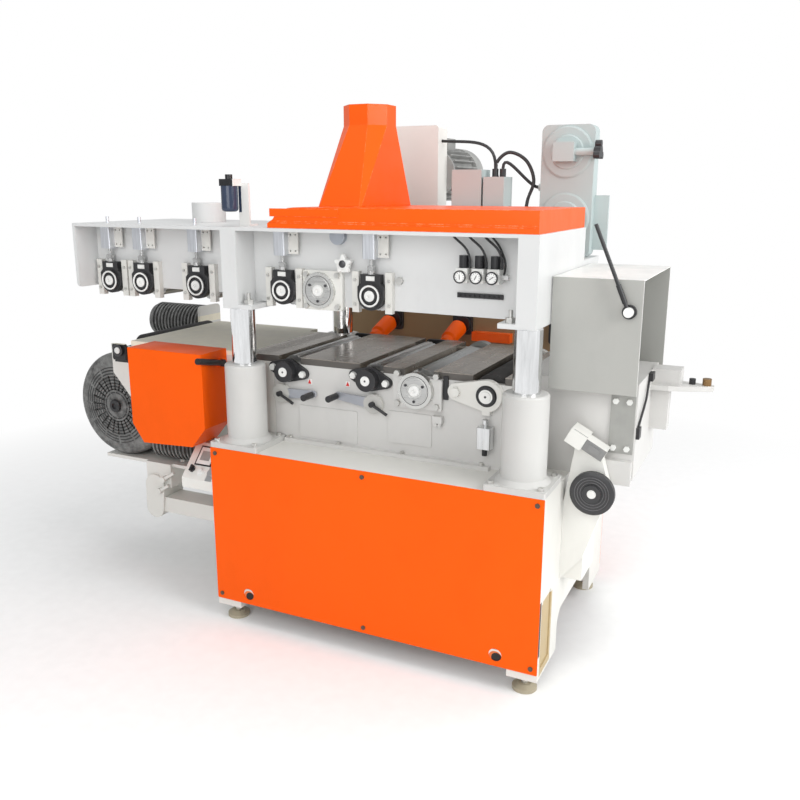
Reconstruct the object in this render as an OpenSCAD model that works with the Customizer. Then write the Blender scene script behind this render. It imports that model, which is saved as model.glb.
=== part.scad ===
// Four-post double-sided thicknessing planer with a through-feed bed.
// X runs along the feed, Y from the operator's side to the rear, Z up from the floor.
// Places are first written from the middle of the front panel, then moved to the part's origin.

/* [Base] */
// Length of the base along the feed
base_len = 1280; // [1260:10:1340]
// Depth of the base over both panels
base_depth = 940; // [930:10:1000]
// Height of the base's top face
base_top = 700; // [680:5:715]
// Thickness of the end castings
base_wall = 24; // [18:1:30]
// Thickness of the deck on top of the base
deck_t = 25; // [20:1:32]
// Height of the panels' lower edge
panel_bottom = 87; // [80:1:110]
// Thickness of the sheet panels
panel_t = 3; // [2:0.5:5]
// Height of the undersides of the legs
leg_bottom = 60; // [50:1:75]
// Length of each leg along the base's depth
leg_w = 235; // [180:5:260]
// Height of the arch between the legs
arch_top = 205; // [160:5:240]
// Diameter of the lifting holes in the panels
lift_hole_d = 46; // [36:1:56]
// Diameter of the levelling pads
pad_d = 84; // [60:1:90]

/* [Columns] */
// Size of a column's foot along the feed
foot_w = 205; // [195:1:220]
// Size of a column's foot across the feed
foot_d = 200; // [190:1:210]
// Thickness of a column's foot
foot_t = 20; // [14:1:26]
// Outer diameter of a column's sleeve
sleeve_d = 150; // [140:1:160]
// Outer diameter of the guide barrel inside the base
barrel_d = 130; // [115:1:136]
// Length of the guide barrel inside the base
barrel_len = 220; // [200:5:240]
// Diameter of the chromed guide posts
post_d = 90; // [80:1:96]
// Length of the guide posts
post_len = 520; // [490:5:560]
// Diameter of the lift screws
screw_d = 32; // [26:1:40]
// Radial clearance of posts, screws and shafts in their bores
slide_gap = 0.05; // [0.03:0.01:0.08]

/* [Bed] */
// Height of the table surface
table_z = 1025; // [1020:1:1040]
// Thickness of the table plates
table_t = 25; // [20:1:28]
// Front face of the bed
bed_front = 205; // [203:1:215]
// Rear face of the bed between the rear columns
bed_rear = 800; // [796:1:806]
// Rear edge of the tables beside the rear columns
column_cut = 735; // [725:1:738]
// Thickness of the bed's side plates
bed_wall = 25; // [20:1:30]
// Diameter of the lower feed rollers
low_roller_d = 102; // [98:1:104]
// Place of the first lower feed roller along the feed
low_roller_1_x = -410; // [-412:1:-405]
// Place of the second lower feed roller along the feed
low_roller_2_x = -67; // [-72:1:-62]
// Diameter of the outfeed roller
out_roller_d = 128; // [120:1:130]
// Place of the outfeed roller along the feed
out_roller_x = 376; // [372:1:378]
// Place of the outfeed roller's swing pivot along the feed
arm_pivot_x = 267; // [260:1:272]
// Diameter of the feed shafts
shaft_d = 35; // [30:1:38]
// Gap between neighbouring pieces that move past each other
run_gap = 3; // [2:0.5:4]
// Width of one finger of the comb plate
comb_pitch = 16; // [12:1:24]

/* [Cutterheads] */
// Diameter of the cutting circle
cutter_d = 136; // [128:1:138]
// Place of the upper cutterhead along the feed
upper_cutter_x = -245; // [-248:1:-242]
// Place of the lower cutterhead along the feed
lower_cutter_x = 120; // [116:1:124]
// Diameter of the cutter spindles
spindle_d = 50; // [44:1:54]
// Number of knives in a cutterhead
knife_count = 4; // [2:1:6]
// Width of the bearing housing plates
housing_w = 184; // [176:1:190]
// Height of the bearing housing plates
housing_h = 139; // [134:1:140]

/* [Head] */
// Opening between the table and the upper rollers at rest
opening = 193; // [190:1:200]
// Height of the head over the posts
head_h = 288; // [284:1:300]
// Height of the rear beam over the posts
rear_h = 172; // [168:1:180]
// Front plane of the head
head_front = 60; // [56:1:64]
// Rear plane of the head
head_rear = 880; // [878:1:884]
// Place of the front web
web_y = 172; // [168:1:176]
// Place of the rear web
rear_web_y = 756; // [752:1:760]
// Rear edge of the high part of the head
head_step_y = 642; // [638:1:650]
// Thickness of the head's plates
plate_t = 12; // [10:1:14]
// How far the head reaches past the left columns
overhang = 760; // [755:1:780]
// How far the head reaches past the right columns' axes
head_margin = 34; // [30:1:35]
// Width of the stiffeners over the posts
stiffener_w = 66; // [60:1:72]
// Height of the overhang's underside over the posts
overhang_lift = 41; // [36:1:46]

/* [Upper feed rollers] */
// Diameter of the upper feed rollers
roller_d = 122; // [116:1:122]
// Length of the feed rollers
roller_len = 500; // [480:5:504]
// Number of flutes around a feed roller
flute_count = 20; // [12:1:28]
// Depth of the flutes
flute_depth = 3; // [2:0.5:4]
// Radius of a bearing block
block_r = 50; // [46:1:51]
// Thickness of a bearing block
block_t = 24; // [22:1:30]
// Width of a guide rail
rail_w = 26; // [20:1:28]
// Width of an air cylinder
cylinder_w = 46; // [40:1:50]
// Length of an air cylinder
cylinder_len = 86; // [80:1:92]
// Diameter of an air cylinder's rod
rod_d = 12; // [8:1:16]
// Radial clearance of a rod in its cylinder
rod_gap = 0.1; // [0.05:0.01:0.2]
// Clearance between a bearing block and its rails
block_gap = 0.4; // [0.3:0.05:0.6]
// Travel of a feed roller up from rest
float_up = 15; // [10:1:18]
// Travel of a feed roller down from rest
float_down = 6; // [3:1:8]

/* [Covers and motors] */
// Height of the orange top cover
cover_h = 70; // [60:1:80]
// Thickness of the folded sheet covers
sheet_t = 3; // [2:0.5:4]
// Height of the chute over the cover
chute_h = 280; // [240:5:320]
// Height of the chute's eight-sided neck
neck_h = 70; // [60:1:90]
// Diameter over the corners of the chute's neck
neck_d = 190; // [160:2:200]
// Diameter of the round suction collar
collar_d = 132; // [120:1:140]
// Diameter of the upper motor over its fins
motor_d = 224; // [200:2:230]
// Length of the upper motor
motor_len = 320; // [290:5:340]
// Number of fins around a motor
fin_count = 24; // [12:1:32]
// Diameter of the infeed motor's cowl
cowl_d = 450; // [420:5:456]
// Width of the belt guard
guard_w = 240; // [236:1:244]
// Diameter of the motor's belt pulley
motor_pulley_d = 100; // [90:1:104]
// Diameter of the cutterhead's belt pulley
cutter_pulley_d = 80; // [70:1:90]

/* [Controls] */
// Diameter of the hand wheel
wheel_d = 146; // [130:1:160]
// Length of the guard lever
lever_len = 285; // [260:5:300]
// Diameter of the adjusting discs
disc_d = 72; // [64:1:78]
// Length of the infeed crank
crank_len = 145; // [120:1:150]

/* [Hidden] */
$fn = 48;

orange = "#f26a10";
grey_paint = "#c9c7bd";
white_paint = "#dedcd4";
chrome = "#c4c8cc";
steel = "#9b9d9f";
iron = "#6d6860";
black = "#1d1e20";

// Base
half_len = base_len / 2;
deck_bottom = base_top - deck_t;
column_x = half_len - foot_w / 2;
front_column_y = foot_d / 2;
rear_column_y = base_depth - foot_d / 2;
column_places = [
  [-column_x, front_column_y], [column_x, front_column_y],
  [-column_x, rear_column_y], [column_x, rear_column_y]
];
foot_inset = 55;
foot_places = [
  [-half_len + foot_inset, foot_inset], [half_len - foot_inset, foot_inset],
  [-half_len + foot_inset, base_depth - foot_inset], [half_len - foot_inset, base_depth - foot_inset]
];
screw_head = 4;
frame_rail = 60;
barrel_bottom = base_top - barrel_len;
gearbox_h = 80;

// Bed
bed_top = table_z - table_t;
bed_left = -column_x + 57;
bed_right = column_x - 77;
low_roller_z = table_z + 1 - low_roller_d / 2;
lower_cutter_z = table_z - cutter_d / 2;
out_roller_z = table_z + 1 - out_roller_d / 2;
roller_front = bed_front + bed_wall + 8;
roller_rear = column_cut - 13;
rear_half = column_x - foot_w / 2 - 5;
bearing_t = 28;
hub_t = 50;
disc_t = 18;
disc_1 = [-444, low_roller_z - 90];
disc_2 = [-53, low_roller_z - 89];
arm_t = 24;
belt_case_y = bed_rear + 22;
belt_case_t = 38;
beam_w = 50;
beam_ys = [520, 720];
lower_motor_z = 430;

// Head
head_rest = table_z + opening - 4;
head_top = head_rest + head_h;
rear_top = head_rest + rear_h;
head_left = -column_x - overhang;
head_right = column_x + head_margin;
web_bottom = head_rest + 18;
overhang_bottom = head_rest + overhang_lift;
flange_bottom = head_top - plate_t;
rear_flange_bottom = rear_top - plate_t;
left_stiffener = -column_x + 10;
right_stiffener = head_right - stiffener_w;
foot_plate_t = 16;
upper_cutter_z = table_z + opening + cutter_d / 2;

// Feed rollers
roller_xs = [-1198, -1037, -771, -390, -35];
roller_z = table_z + opening + roller_d / 2;
roller_mid_y = (web_y + plate_t + rear_web_y) / 2;
block_front = web_y - 9 - block_t;
rear_block_y = rear_web_y + plate_t + 9;
block_half = block_r;
neck_half = 38;
block_top = 73;
rod_reach = 24;
slot_w = shaft_d + 16;
rail_h = 140;

// Belt drive at the rear of the head
guard_y = 900;
guard_t = 96;
guard_mid = upper_cutter_x + 12;
guard_bottom = head_rest + 1;
guard_top = guard_bottom + 670;
motor_x = -180;
motor_z = guard_bottom + 480;
pulley_y = guard_y + 20;
pulley_t = 50;
motor_front = guard_y + guard_t;
motor_back = motor_front + motor_len + 24;

// Infeed
infeed_left = -1290;
drum_x = -1238;
drum_z = low_roller_z;
cowl_x = -1308;
cowl_y = 225;
cowl_z = 730;
infeed_front = 248;
infeed_side_t = 12;

// Gear case behind the bed
case_front = 1110;
case_t = 120;
output_zs = [low_roller_z + 70, low_roller_z + 70, out_roller_z + 70];
output_xs = [low_roller_1_x, low_roller_2_x, out_roller_x];
output_bearing_t = 26;

// Outfeed
hood_left = head_right + 5;
hood_right = 850;
hood_front = 212;
hood_rear = 752;
hood_bottom = table_z - 20;
hood_top = 1367;
side_arm_tip = 1052;

// Controls
wheel_place = [742, 200, 672];
lever_pivot = [820, 1270];
crank_place = [160, 985];
guard_left = -1056;
guard_right = -700;

// Middle of the whole machine, which becomes the origin
feed_motor = [-1600, 860, 1000];
reach_left = feed_motor.x;
mid_x = (reach_left + side_arm_tip) / 2;
mid_y = (motor_back - screw_head) / 2;

module placed() {
  translate([-mid_x, -mid_y, 0])
    children();
}

module slab(low, high) {
  translate(low)
    cube(high - low);
}

module rod_x(y, z, d, x0, x1) {
  translate([x0, y, z])
    rotate([0, 90, 0])
      cylinder(d = d, h = x1 - x0);
}

module rod_y(x, z, d, y0, y1) {
  translate([x, y1, z])
    rotate([90, 0, 0])
      cylinder(d = d, h = y1 - y0);
}

module rod_z(x, y, d, z0, z1) {
  translate([x, y, z0])
    cylinder(d = d, h = z1 - z0);
}

// Draws an X-Z outline as a plate between two places in Y
module plate_y(y0, y1) {
  translate([0, y1, 0])
    rotate([90, 0, 0])
      linear_extrude(y1 - y0)
        children();
}

// Draws a Y-Z outline as a plate between two places in X
module plate_x(x0, x1) {
  translate([x0, 0, 0])
    rotate([90, 0, 90])
      linear_extrude(x1 - x0)
        children();
}

module plate_z(z0, z1) {
  translate([0, 0, z0])
    linear_extrude(z1 - z0)
      children();
}

module rounded(low, high, r) {
  translate([low.x + r, low.y])
    square([high.x - low.x - 2 * r, high.y - low.y]);
  translate([low.x, low.y + r])
    square([high.x - low.x, high.y - low.y - 2 * r]);
  for (x = [low.x + r, high.x - r])
    for (y = [low.y + r, high.y - r])
      translate([x, y])
        circle(r);
}

// Outline of two discs joined by their outer tangents
module link(a, ra, b, rb) {
  along = atan2(b.y - a.y, b.x - a.x);
  lean = acos((ra - rb) / norm(b - a));
  up = [cos(along + lean), sin(along + lean)];
  down = [cos(along - lean), sin(along - lean)];
  translate(a)
    circle(ra);
  translate(b)
    circle(rb);
  polygon([a + ra * up, b + rb * up, b + rb * down, a + ra * down]);
}

// Hexagon-head bolt seen from the operator's side, its head seated at y
module bolt_y(x, z, across, y, head) {
  translate([x, y, z])
    rotate([90, 0, 0])
      cylinder(d = across / cos(30), h = head, $fn = 6);
}

module bolt_z(x, y, across, z, head) {
  translate([x, y, z])
    cylinder(d = across / cos(30), h = head, $fn = 6);
}

module end_outline() {
  arch_r = 60;
  arch_front = leg_w;
  arch_rear = base_depth - leg_w + 30;
  difference() {
    translate([panel_t, leg_bottom])
      square([base_depth - 2 * panel_t, base_top - leg_bottom]);
    translate([arch_front, leg_bottom - 1])
      square([arch_rear - arch_front, arch_top - arch_r - leg_bottom + 1]);
    rounded([arch_front, leg_bottom - 1], [arch_rear, arch_top], arch_r);
  }
}

module base_casting() {
  pad_reach = 105;
  post_w = 90;
  rail_h = 60;
  beam_top = lower_motor_z - motor_d / 2 - 12;
  belt_slot = [lower_cutter_x - 75, lower_cutter_x + 75];
  chip_hole = [[40, 265], [205, 760]];
  color(white_paint) {
    difference() {
      union() {
        for (x = [-half_len, half_len - base_wall])
          plate_x(x, x + base_wall)
            end_outline();
        slab([-half_len, panel_t, deck_bottom], [half_len, base_depth - panel_t, base_top]);
        for (y = [panel_t, base_depth - panel_t - base_wall]) {
          for (x = [-half_len, half_len - post_w])
            slab([x, y, panel_bottom], [x + post_w, y + base_wall, base_top]);
          for (x = [-half_len, half_len - pad_reach])
            slab([x, y < pad_reach ? y : y + base_wall - pad_reach, leg_bottom],
                 [x + pad_reach, y < pad_reach ? y + pad_reach : y + base_wall, leg_bottom + 28]);
          slab([-half_len, y, panel_bottom], [half_len, y + base_wall, panel_bottom + rail_h]);
        }
        for (y = beam_ys)
          slab([-half_len, y, beam_top - beam_w], [half_len, y + beam_w, beam_top]);
      }
      for (p = column_places)
        rod_z(p.x, p.y, barrel_d, deck_bottom - 1, base_top + 1);
      slab([belt_slot[0], belt_case_y - 3, deck_bottom - 1],
         [belt_slot[1], belt_case_y + belt_case_t + 3, base_top + 1]);
      plate_z(deck_bottom - 1, base_top + 1)
        rounded(chip_hole[0], chip_hole[1], 30);
      for (x = [-half_len - 1, half_len - base_wall - 1])
        slab([x, 38, leg_bottom + 35], [x + base_wall + 2, 132, leg_bottom + 285]);
    }
    for (x = [-half_len, half_len - base_wall])
      slab([x + 4, 38, leg_bottom + 35], [x + base_wall - 4, 132, leg_bottom + 285]);
  }
}

module side_panels() {
  hole_x = 495;
  hole_z = 116;
  color(orange)
    for (y = [0, base_depth - panel_t])
      plate_y(y, y + panel_t)
        difference() {
          rounded([-half_len, panel_bottom], [half_len, base_top - 0.5], 4);
          for (x = [-hole_x, hole_x])
            translate([x, hole_z + 12])
              circle(d = lift_hole_d);
        }
}

module base_fasteners() {
  edge = 22;
  bed_bolt_x = bed_right - 40;
  color(steel) {
    for (x = [-half_len + edge, 0, half_len - edge])
      for (z = [panel_bottom + edge, base_top - edge]) {
        rod_y(x, z, 16, -screw_head, 0);
        rod_y(x, z, 16, base_depth, base_depth + screw_head);
      }
    for (p = column_places)
      for (dx = [-1, 1])
        for (dy = [-1, 1])
          bolt_z(p.x + dx * (foot_w / 2 - 20), p.y + dy * (foot_d / 2 - 20),
               18, base_top + foot_t, 11);
    for (x = [bed_left + 70, -200, 60, bed_bolt_x - 60])
      bolt_z(x, bed_front - 12, 14, base_top + 14, 9);
    for (dx = [-1, 1])
      for (dz = [-1, 1])
        bolt_y(lower_cutter_x + dx * (housing_w / 2 - 18),
             lower_cutter_z + dz * (housing_h / 2 - 16), 20, bed_front - 18, 12);
  }
}

module levelling_feet() {
  nut_h = 16;
  color(steel)
    for (p = foot_places)
      translate([p.x, p.y, 0]) {
        rotate_extrude()
          polygon([[0, 0], [pad_d / 2, 0], [pad_d / 2, 12], [24, 22], [12, 22], [12, leg_bottom],
               [0, leg_bottom]]);
        translate([0, 0, leg_bottom - nut_h])
          cylinder(d = 42, h = nut_h, $fn = 6);
      }
}

module column_sleeves() {
  lip = 8;
  sleeve_top = table_z - 15;
  outer = sleeve_d / 2;
  bore = post_d / 2 + slide_gap;
  color(white_paint)
    for (p = column_places)
      translate([p.x, p.y, 0]) {
        rotate_extrude()
          polygon(concat(
            [[bore, barrel_bottom], [barrel_d / 2, barrel_bottom], [barrel_d / 2, base_top],
             [outer + 16, base_top], [outer + 16, base_top + foot_t], [outer, base_top + foot_t + 16]],
            [for (a = [0:15:90])
              [outer - lip + lip * cos(a), sleeve_top - lip + lip * sin(a)]],
            [[bore, sleeve_top]]));
        difference() {
          plate_z(base_top, base_top + foot_t)
            rounded([-foot_w / 2, -foot_d / 2], [foot_w / 2, foot_d / 2], 6);
          translate([0, 0, base_top - 1])
            cylinder(r = outer, h = foot_t + 2);
        }
      }
}

// Nut gearboxes under the posts, joined by closed shaft tubes
module lift_gear() {
  box_w = 124;
  box_z = barrel_bottom - gearbox_h;
  tube_d = 44;
  tube_z = box_z + gearbox_h / 2;
  mid = base_depth / 2;
  color(iron) {
    for (p = column_places)
      difference() {
        plate_z(box_z, barrel_bottom)
          translate([p.x, p.y])
            rounded([-box_w / 2, -box_w / 2], [box_w / 2, box_w / 2], 14);
        rod_z(p.x, p.y, screw_d + 2 * slide_gap, box_z - 1, barrel_bottom + 1);
      }
    for (x = [-column_x, column_x]) {
      rod_y(x, tube_z, tube_d, front_column_y + box_w / 2, mid - 45);
      rod_y(x, tube_z, tube_d, mid + 45, rear_column_y - box_w / 2);
      slab([x - 45, mid - 45, tube_z - 45], [x + 45, mid + 45, tube_z + 45]);
    }
    rod_x(mid, tube_z, tube_d, -column_x + 45, column_x - 45);
  }
}

module finned_body(d, y0, y1, x, z, fins) {
  core = d - 36;
  rod_y(x, z, core, y0, y1);
  for (i = [0:fins - 1])
    translate([x, y0 + 4, z])
      rotate([0, i * 360 / fins, 0])
        translate([0, 0, -2.5])
          cube([d / 2, y1 - y0 - 8, 5]);
}

// Motor inside the base with its closed belt case up to the lower spindle
module lower_motor() {
  y0 = belt_case_y - 292;
  y1 = belt_case_y - 12;
  beam_top = lower_motor_z - motor_d / 2 - 12;
  case_r = 66;
  case_rear = belt_case_y + belt_case_t;
  color(grey_paint) {
    finned_body(motor_d, y0, y1, lower_cutter_x, lower_motor_z, fin_count);
    rod_y(lower_cutter_x, lower_motor_z, motor_d - 8, y0 - 34, y0);
    for (y = beam_ys)
      slab([lower_cutter_x - 100, y + 10, beam_top], [lower_cutter_x + 100, y + 40, lower_motor_z - 70]);
    difference() {
      plate_y(belt_case_y, case_rear)
        link([lower_cutter_x, lower_cutter_z], case_r, [lower_cutter_x, lower_motor_z], case_r + 6);
      rod_y(lower_cutter_x, lower_cutter_z, spindle_d + 4, belt_case_y - 1, case_rear - 6);
    }
    rod_y(lower_cutter_x, lower_motor_z, 60, y1, belt_case_y);
  }
}

module bed_side(y, left, right) {
  slot_h = 30;
  plate_y(y, y + bed_wall)
    difference() {
      translate([left, base_top])
        square([right - left, bed_top - base_top]);
      for (x = [low_roller_1_x, low_roller_2_x])
        translate([x, low_roller_z])
          circle(d = shaft_d + 1);
      translate([lower_cutter_x, lower_cutter_z])
        circle(d = spindle_d + 30);
      translate([arm_pivot_x, out_roller_z + 4])
        circle(d = 30 + 2 * slide_gap);
      for (z = [out_roller_z - slot_h, out_roller_z + 8])
        translate([out_roller_x, z])
          circle(d = shaft_d + 12);
      translate([out_roller_x - (shaft_d + 12) / 2, out_roller_z - slot_h])
        square([shaft_d + 12, slot_h + 8]);
    }
}

module bed_frame() {
  wall = 14;
  cover_t = 3;
  color(grey_paint) {
    bed_side(bed_front, bed_left, bed_right);
    bed_side(bed_rear - bed_wall, -rear_half, rear_half);
    for (x = [-262, 222])
      slab([x, bed_front + bed_wall, base_top], [x + wall, bed_rear - bed_wall, bed_top]);
    for (x = [bed_left, bed_right - wall])
      slab([x, bed_front + bed_wall, base_top], [x + wall, column_cut, bed_top]);
    for (x = [-rear_half - wall, rear_half]) {
      slab([x, column_cut - 12, base_top + foot_t + 2], [x + wall, bed_rear, bed_top]);
      slab([min(x, bed_right - wall), column_cut - 12, base_top + foot_t + 2],
         [max(x, bed_left) + wall, column_cut, bed_top]);
    }
    slab([-column_x + foot_w / 2 + 5, bed_front - 24, base_top],
       [bed_right - 70, bed_front, base_top + 14]);
    for (cover = [[-372, -124, 722, 845], [0, 170, 748, 866]])
      plate_y(bed_front - cover_t, bed_front)
        rounded([cover[0], cover[2]], [cover[1], cover[3]], 8);
    for (y = [bed_front - 18, bed_rear])
      difference() {
        union() {
          plate_y(y, y + 18)
            rounded([lower_cutter_x - housing_w / 2, lower_cutter_z - housing_h / 2],
                [lower_cutter_x + housing_w / 2, bed_top], 8);
          if (y < bed_front)
            rod_y(lower_cutter_x, lower_cutter_z, 128, y - 24, y);
        }
        rod_y(lower_cutter_x, lower_cutter_z, spindle_d + 2 * slide_gap, y - 6, y + 20);
      }
    slab([214, bed_front - 8, 930], [231, bed_front, 1012]);
    slab([179, bed_front - 22, 845], [215, bed_front, 870]);
    for (x = [189, 205])
      rod_y(x, 838, 14, bed_front - 18, bed_front);
  }
}

// Cast-iron plates with relief for the rollers and the cutter below them
module table_plates() {
  low_reach = low_roller_d / 2 * sin(acos((low_roller_z - bed_top) / (low_roller_d / 2)));
  cut_reach = cutter_d / 2 * sin(acos((lower_cutter_z - bed_top) / (cutter_d / 2)));
  out_reach = out_roller_d / 2 * sin(acos((out_roller_z - bed_top) / (out_roller_d / 2)));
  spans = [
    [low_roller_1_x + low_reach + run_gap, low_roller_2_x - low_reach - run_gap],
    [low_roller_2_x + low_reach + run_gap, lower_cutter_x - cut_reach - run_gap],
    [lower_cutter_x + cut_reach + run_gap, out_roller_x - out_reach - run_gap - 2],
    [out_roller_x + out_reach + run_gap + 2, bed_right]
  ];
  comb_left = infeed_joint;
  comb_right = low_roller_1_x - low_reach - run_gap;
  tooth_len = 70;
  color(iron) {
    for (span = spans)
      difference() {
        slab([span[0], bed_front, bed_top], [span[1], span[1] > rear_half ? column_cut : bed_rear, table_z]);
        for (y = [bed_front + 12, column_cut - 12])
          for (x = [span[0] + 12, span[1] - 12])
            rod_z(x, y, 8, table_z - 6, table_z + 1);
      }
    difference() {
      slab([comb_left, bed_front, bed_top], [comb_right, column_cut, table_z]);
      for (y = [bed_front + comb_pitch:comb_pitch:column_cut - comb_pitch])
        slab([comb_left + 20, y, table_z - 14], [comb_left + 20 + tooth_len, y + comb_pitch / 4, table_z + 1]);
    }
  }
}

module flange_outline(reach) {
  link([0, 0], 44, [-reach, 0], 20);
  link([0, 0], 44, [reach, 0], 20);
}

// Black flanged bearing units of the lower rollers and of the gear case
module lower_bearings() {
  reach = 65;
  square_half = 46;
  color(black) {
    for (x = [low_roller_1_x, low_roller_2_x]) {
      difference() {
        union() {
          plate_y(bed_front - 14, bed_front)
            translate([x, low_roller_z])
              rotate(-8)
                flange_outline(reach);
          rod_y(x, low_roller_z, 78, bed_front - hub_t, bed_front - 10);
        }
        rod_y(x, low_roller_z, shaft_d + 2 * slide_gap, bed_front - hub_t - 1, bed_front + 1);
      }
      for (side = [-1, 1])
        rotate_about(x, low_roller_z, -8)
          bolt_y(side * reach, 0, 22, bed_front - 14, 12);
      difference() {
        union() {
          plate_y(bed_rear, bed_rear + 14)
            translate([x, low_roller_z])
              rounded([-square_half, -square_half], [square_half, square_half], 12);
          rod_y(x, low_roller_z, 78, bed_rear + 10, bed_rear + bearing_t);
        }
        rod_y(x, low_roller_z, shaft_d + 2 * slide_gap, bed_rear - 1, bed_rear + bearing_t + 1);
      }
    }
    for (i = [0:2])
      difference() {
        union() {
          plate_y(case_front - 14, case_front)
            translate([output_xs[i], output_zs[i]])
              rounded([-square_half, -square_half], [square_half, square_half], 12);
          rod_y(output_xs[i], output_zs[i], 78, case_front - output_bearing_t, case_front - 10);
        }
        if (i < 2)
          rod_y(output_xs[i], output_zs[i], 26, case_front - output_bearing_t - 1, case_front - 4);
      }
  }
}

module rotate_about(x, z, angle) {
  translate([x, 0, z])
    rotate([0, -angle, 0])
      children();
}

infeed_joint = bed_left - 120;
bracket_top = cowl_z - cowl_d / 2 - 3;
infeed_ribs = [-1065, -860, -690];

module infeed_side(right, low) {
  polygon([[infeed_left, drum_z + 30], [infeed_left, drum_z - 92], [-1150, base_top + 20],
       [-half_len - 1, base_top + 20], [-half_len - 1, low], [right, low],
       [right, bed_top], [infeed_left + 60, bed_top]]);
}

// Infeed table with its side plates, the support arm and the arm's clamps
module infeed_bed() {
  side_t = infeed_side_t;
  arm_z = [285, 352];
  slab_left = drum_x + low_roller_d / 2 + 6;
  motor = feed_motor;
  color(white_paint) {
    difference() {
      union() {
        plate_y(bed_front, bed_front + side_t)
          infeed_side(bed_left - 1, base_top);
        plate_y(bed_rear - side_t, bed_rear)
          infeed_side(-half_len - 1, base_top + 20);
        plate_x(infeed_left - 12, infeed_left)
          rounded([bed_rear - side_t, motor.z - 110], [motor.y + 86, motor.z + 86], 20);
      }
      rod_y(drum_x, drum_z, shaft_d + 2 * slide_gap, bed_front - 1, bed_rear + 1);
    }
    slab([slab_left, bed_front, bed_top], [-half_len - 5, bed_rear, table_z]);
    slab([-half_len - 5, bed_front, bed_top], [infeed_joint - 1, column_cut, table_z]);
    for (x = infeed_ribs)
      slab([x, bed_front + side_t, base_top + 60], [x + 14, bed_rear - side_t, bed_top]);
    slab([-1110, 225, arm_z[0]], [-half_len, 330, arm_z[1]]);
    plate_y(215, 340)
      link([-1125, 300], 45, [-1118, 400], 50);
    slab([-1165, 225, 400], [-1035, 330, bracket_top]);
    slab([-1400, 240, bracket_top - 14], [-960, 560, bracket_top]);
    slab([-1000, 420, bracket_top], [-960, 560, base_top + 60]);
    slab([-1000, 420, base_top + 60], [infeed_ribs[1], 560, base_top + 90]);
    slab([-1030, 285, bracket_top], [-1010, 315, 509.8]);
  }
  color(black) {
    plate_y(bed_front - 14, bed_front)
      translate([drum_x, drum_z])
        rounded([-34, -34], [34, 34], 8);
    link_lever(-1060, 440, 70);
    link_lever(-1085, 385, 60);
  }
  color(chrome)
    rod_y(drum_x, drum_z, 32, bed_front - 22, bed_front - 14);
}

module link_lever(x, z, len) {
  rod_y(x, z, 26, 195, 225);
  rotate_about(x, z, 32)
    rod_x(205, 0, 14, 0, len);
}

module guard_outline(inset) {
  low = 654;
  high = table_z + 8;
  polygon([[guard_left + inset, high - inset], [guard_right - inset, high - inset],
       [guard_right - inset, 745], [-765 - inset / 2, low + 12 + inset],
       [-1005 + inset / 2, low + inset], [guard_left + inset, 728]]);
}

module infeed_guard() {
  color(orange) {
    difference() {
      plate_y(50, bed_front)
        guard_outline(0);
      plate_y(50 + sheet_t, bed_front + 1)
        guard_outline(sheet_t);
    }
    rod_x(crank_place.x, crank_place.y, 34, guard_right - sheet_t, guard_right + 8);
  }
}

module infeed_crank() {
  x = guard_right + 8.3;
  tilt = 12;
  color(steel)
    rod_x(crank_place.x, crank_place.y, 28, x, x + 14);
  translate([x + 7, crank_place.x, crank_place.y])
    rotate([90 - tilt, 0, 0]) {
      color(steel)
        cylinder(d = 12, h = crank_len);
      color(black)
        translate([0, 0, 20])
          cylinder(d = 24, h = crank_len - 12);
    }
}

// Fan-cooled motor with a slotted cowl, under the end of the infeed bed
module infeed_motor() {
  slots = 24;
  r = cowl_d / 2;
  color(grey_paint) {
    difference() {
      translate([cowl_x, cowl_y, cowl_z])
        rotate([-90, 0, 0])
          rotate_extrude()
            polygon(concat([[0, 0], [r * 0.62, 0]],
                     [for (a = [0:15:90]) [r - 40 + 40 * sin(a), 8 + 40 - 40 * cos(a)]],
                     [[r, 110], [0, 110]]));
      for (i = [0:slots - 1])
        translate([cowl_x, cowl_y - 1, cowl_z])
          rotate([0, i * 360 / slots, 0])
            translate([r * 0.3, 0, -4])
              cube([r * 0.28, 9, 8]);
    }
    rod_y(cowl_x, cowl_z, 44, cowl_y - 6, cowl_y);
    rod_y(cowl_x, cowl_z, cowl_d - 70, cowl_y + 110, cowl_y + 330);
    for (y = [cowl_y + 120, cowl_y + 260])
      slab([cowl_x - 90, y, bracket_top], [cowl_x + 130, y + 30, cowl_z - 120]);
  }
  color(iron) {
    finned_x(-1145, -890, 300, 575, 130);
    finned_x(feed_motor.x + 12, infeed_left - 12, feed_motor.y, feed_motor.z, 170);
    rod_x(feed_motor.y, feed_motor.z, 150, feed_motor.x, feed_motor.x + 14);
  }
}

module finned_x(x0, x1, y, z, d) {
  rod_x(y, z, d - 24, x0, x1);
  for (x = [x0 + 10:20:x1 - 12])
    rod_x(y, z, d, x, x + 8);
}

module control_box() {
  left = -820;
  right = -half_len;
  outline = [[150, 655], [42, 540], [42, 500], [205, 500], [205, 655]];
  color(white_paint)
    plate_x(left, right)
      polygon(outline);
  tilt = atan2(115, 108);
  translate([left, 42, 540])
    rotate([tilt, 0, 0]) {
      color(black)
        slab([92, 74, 0], [160, 136, 3]);
      color(steel) {
        translate([124, 34, 0])
          cylinder(d = 26, h = 8);
        translate([38, 38, 0])
          cylinder(d = 24, h = 4);
      }
    }
}

// Place of the selector knob on the sloping face of the control box
selector_tilt = atan2(115, 108);
selector_base = [-820 + 38, 42 + 38 * cos(selector_tilt), 540 + 38 * sin(selector_tilt)];

module selector_knob() {
  color(black)
    translate(selector_base)
      rotate([selector_tilt, 0, 0])
        translate([0, 0, 4.3]) {
          cylinder(d = 22, h = 8);
          translate([-4, -13, 0])
            cube([8, 26, 18]);
        }
}

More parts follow.
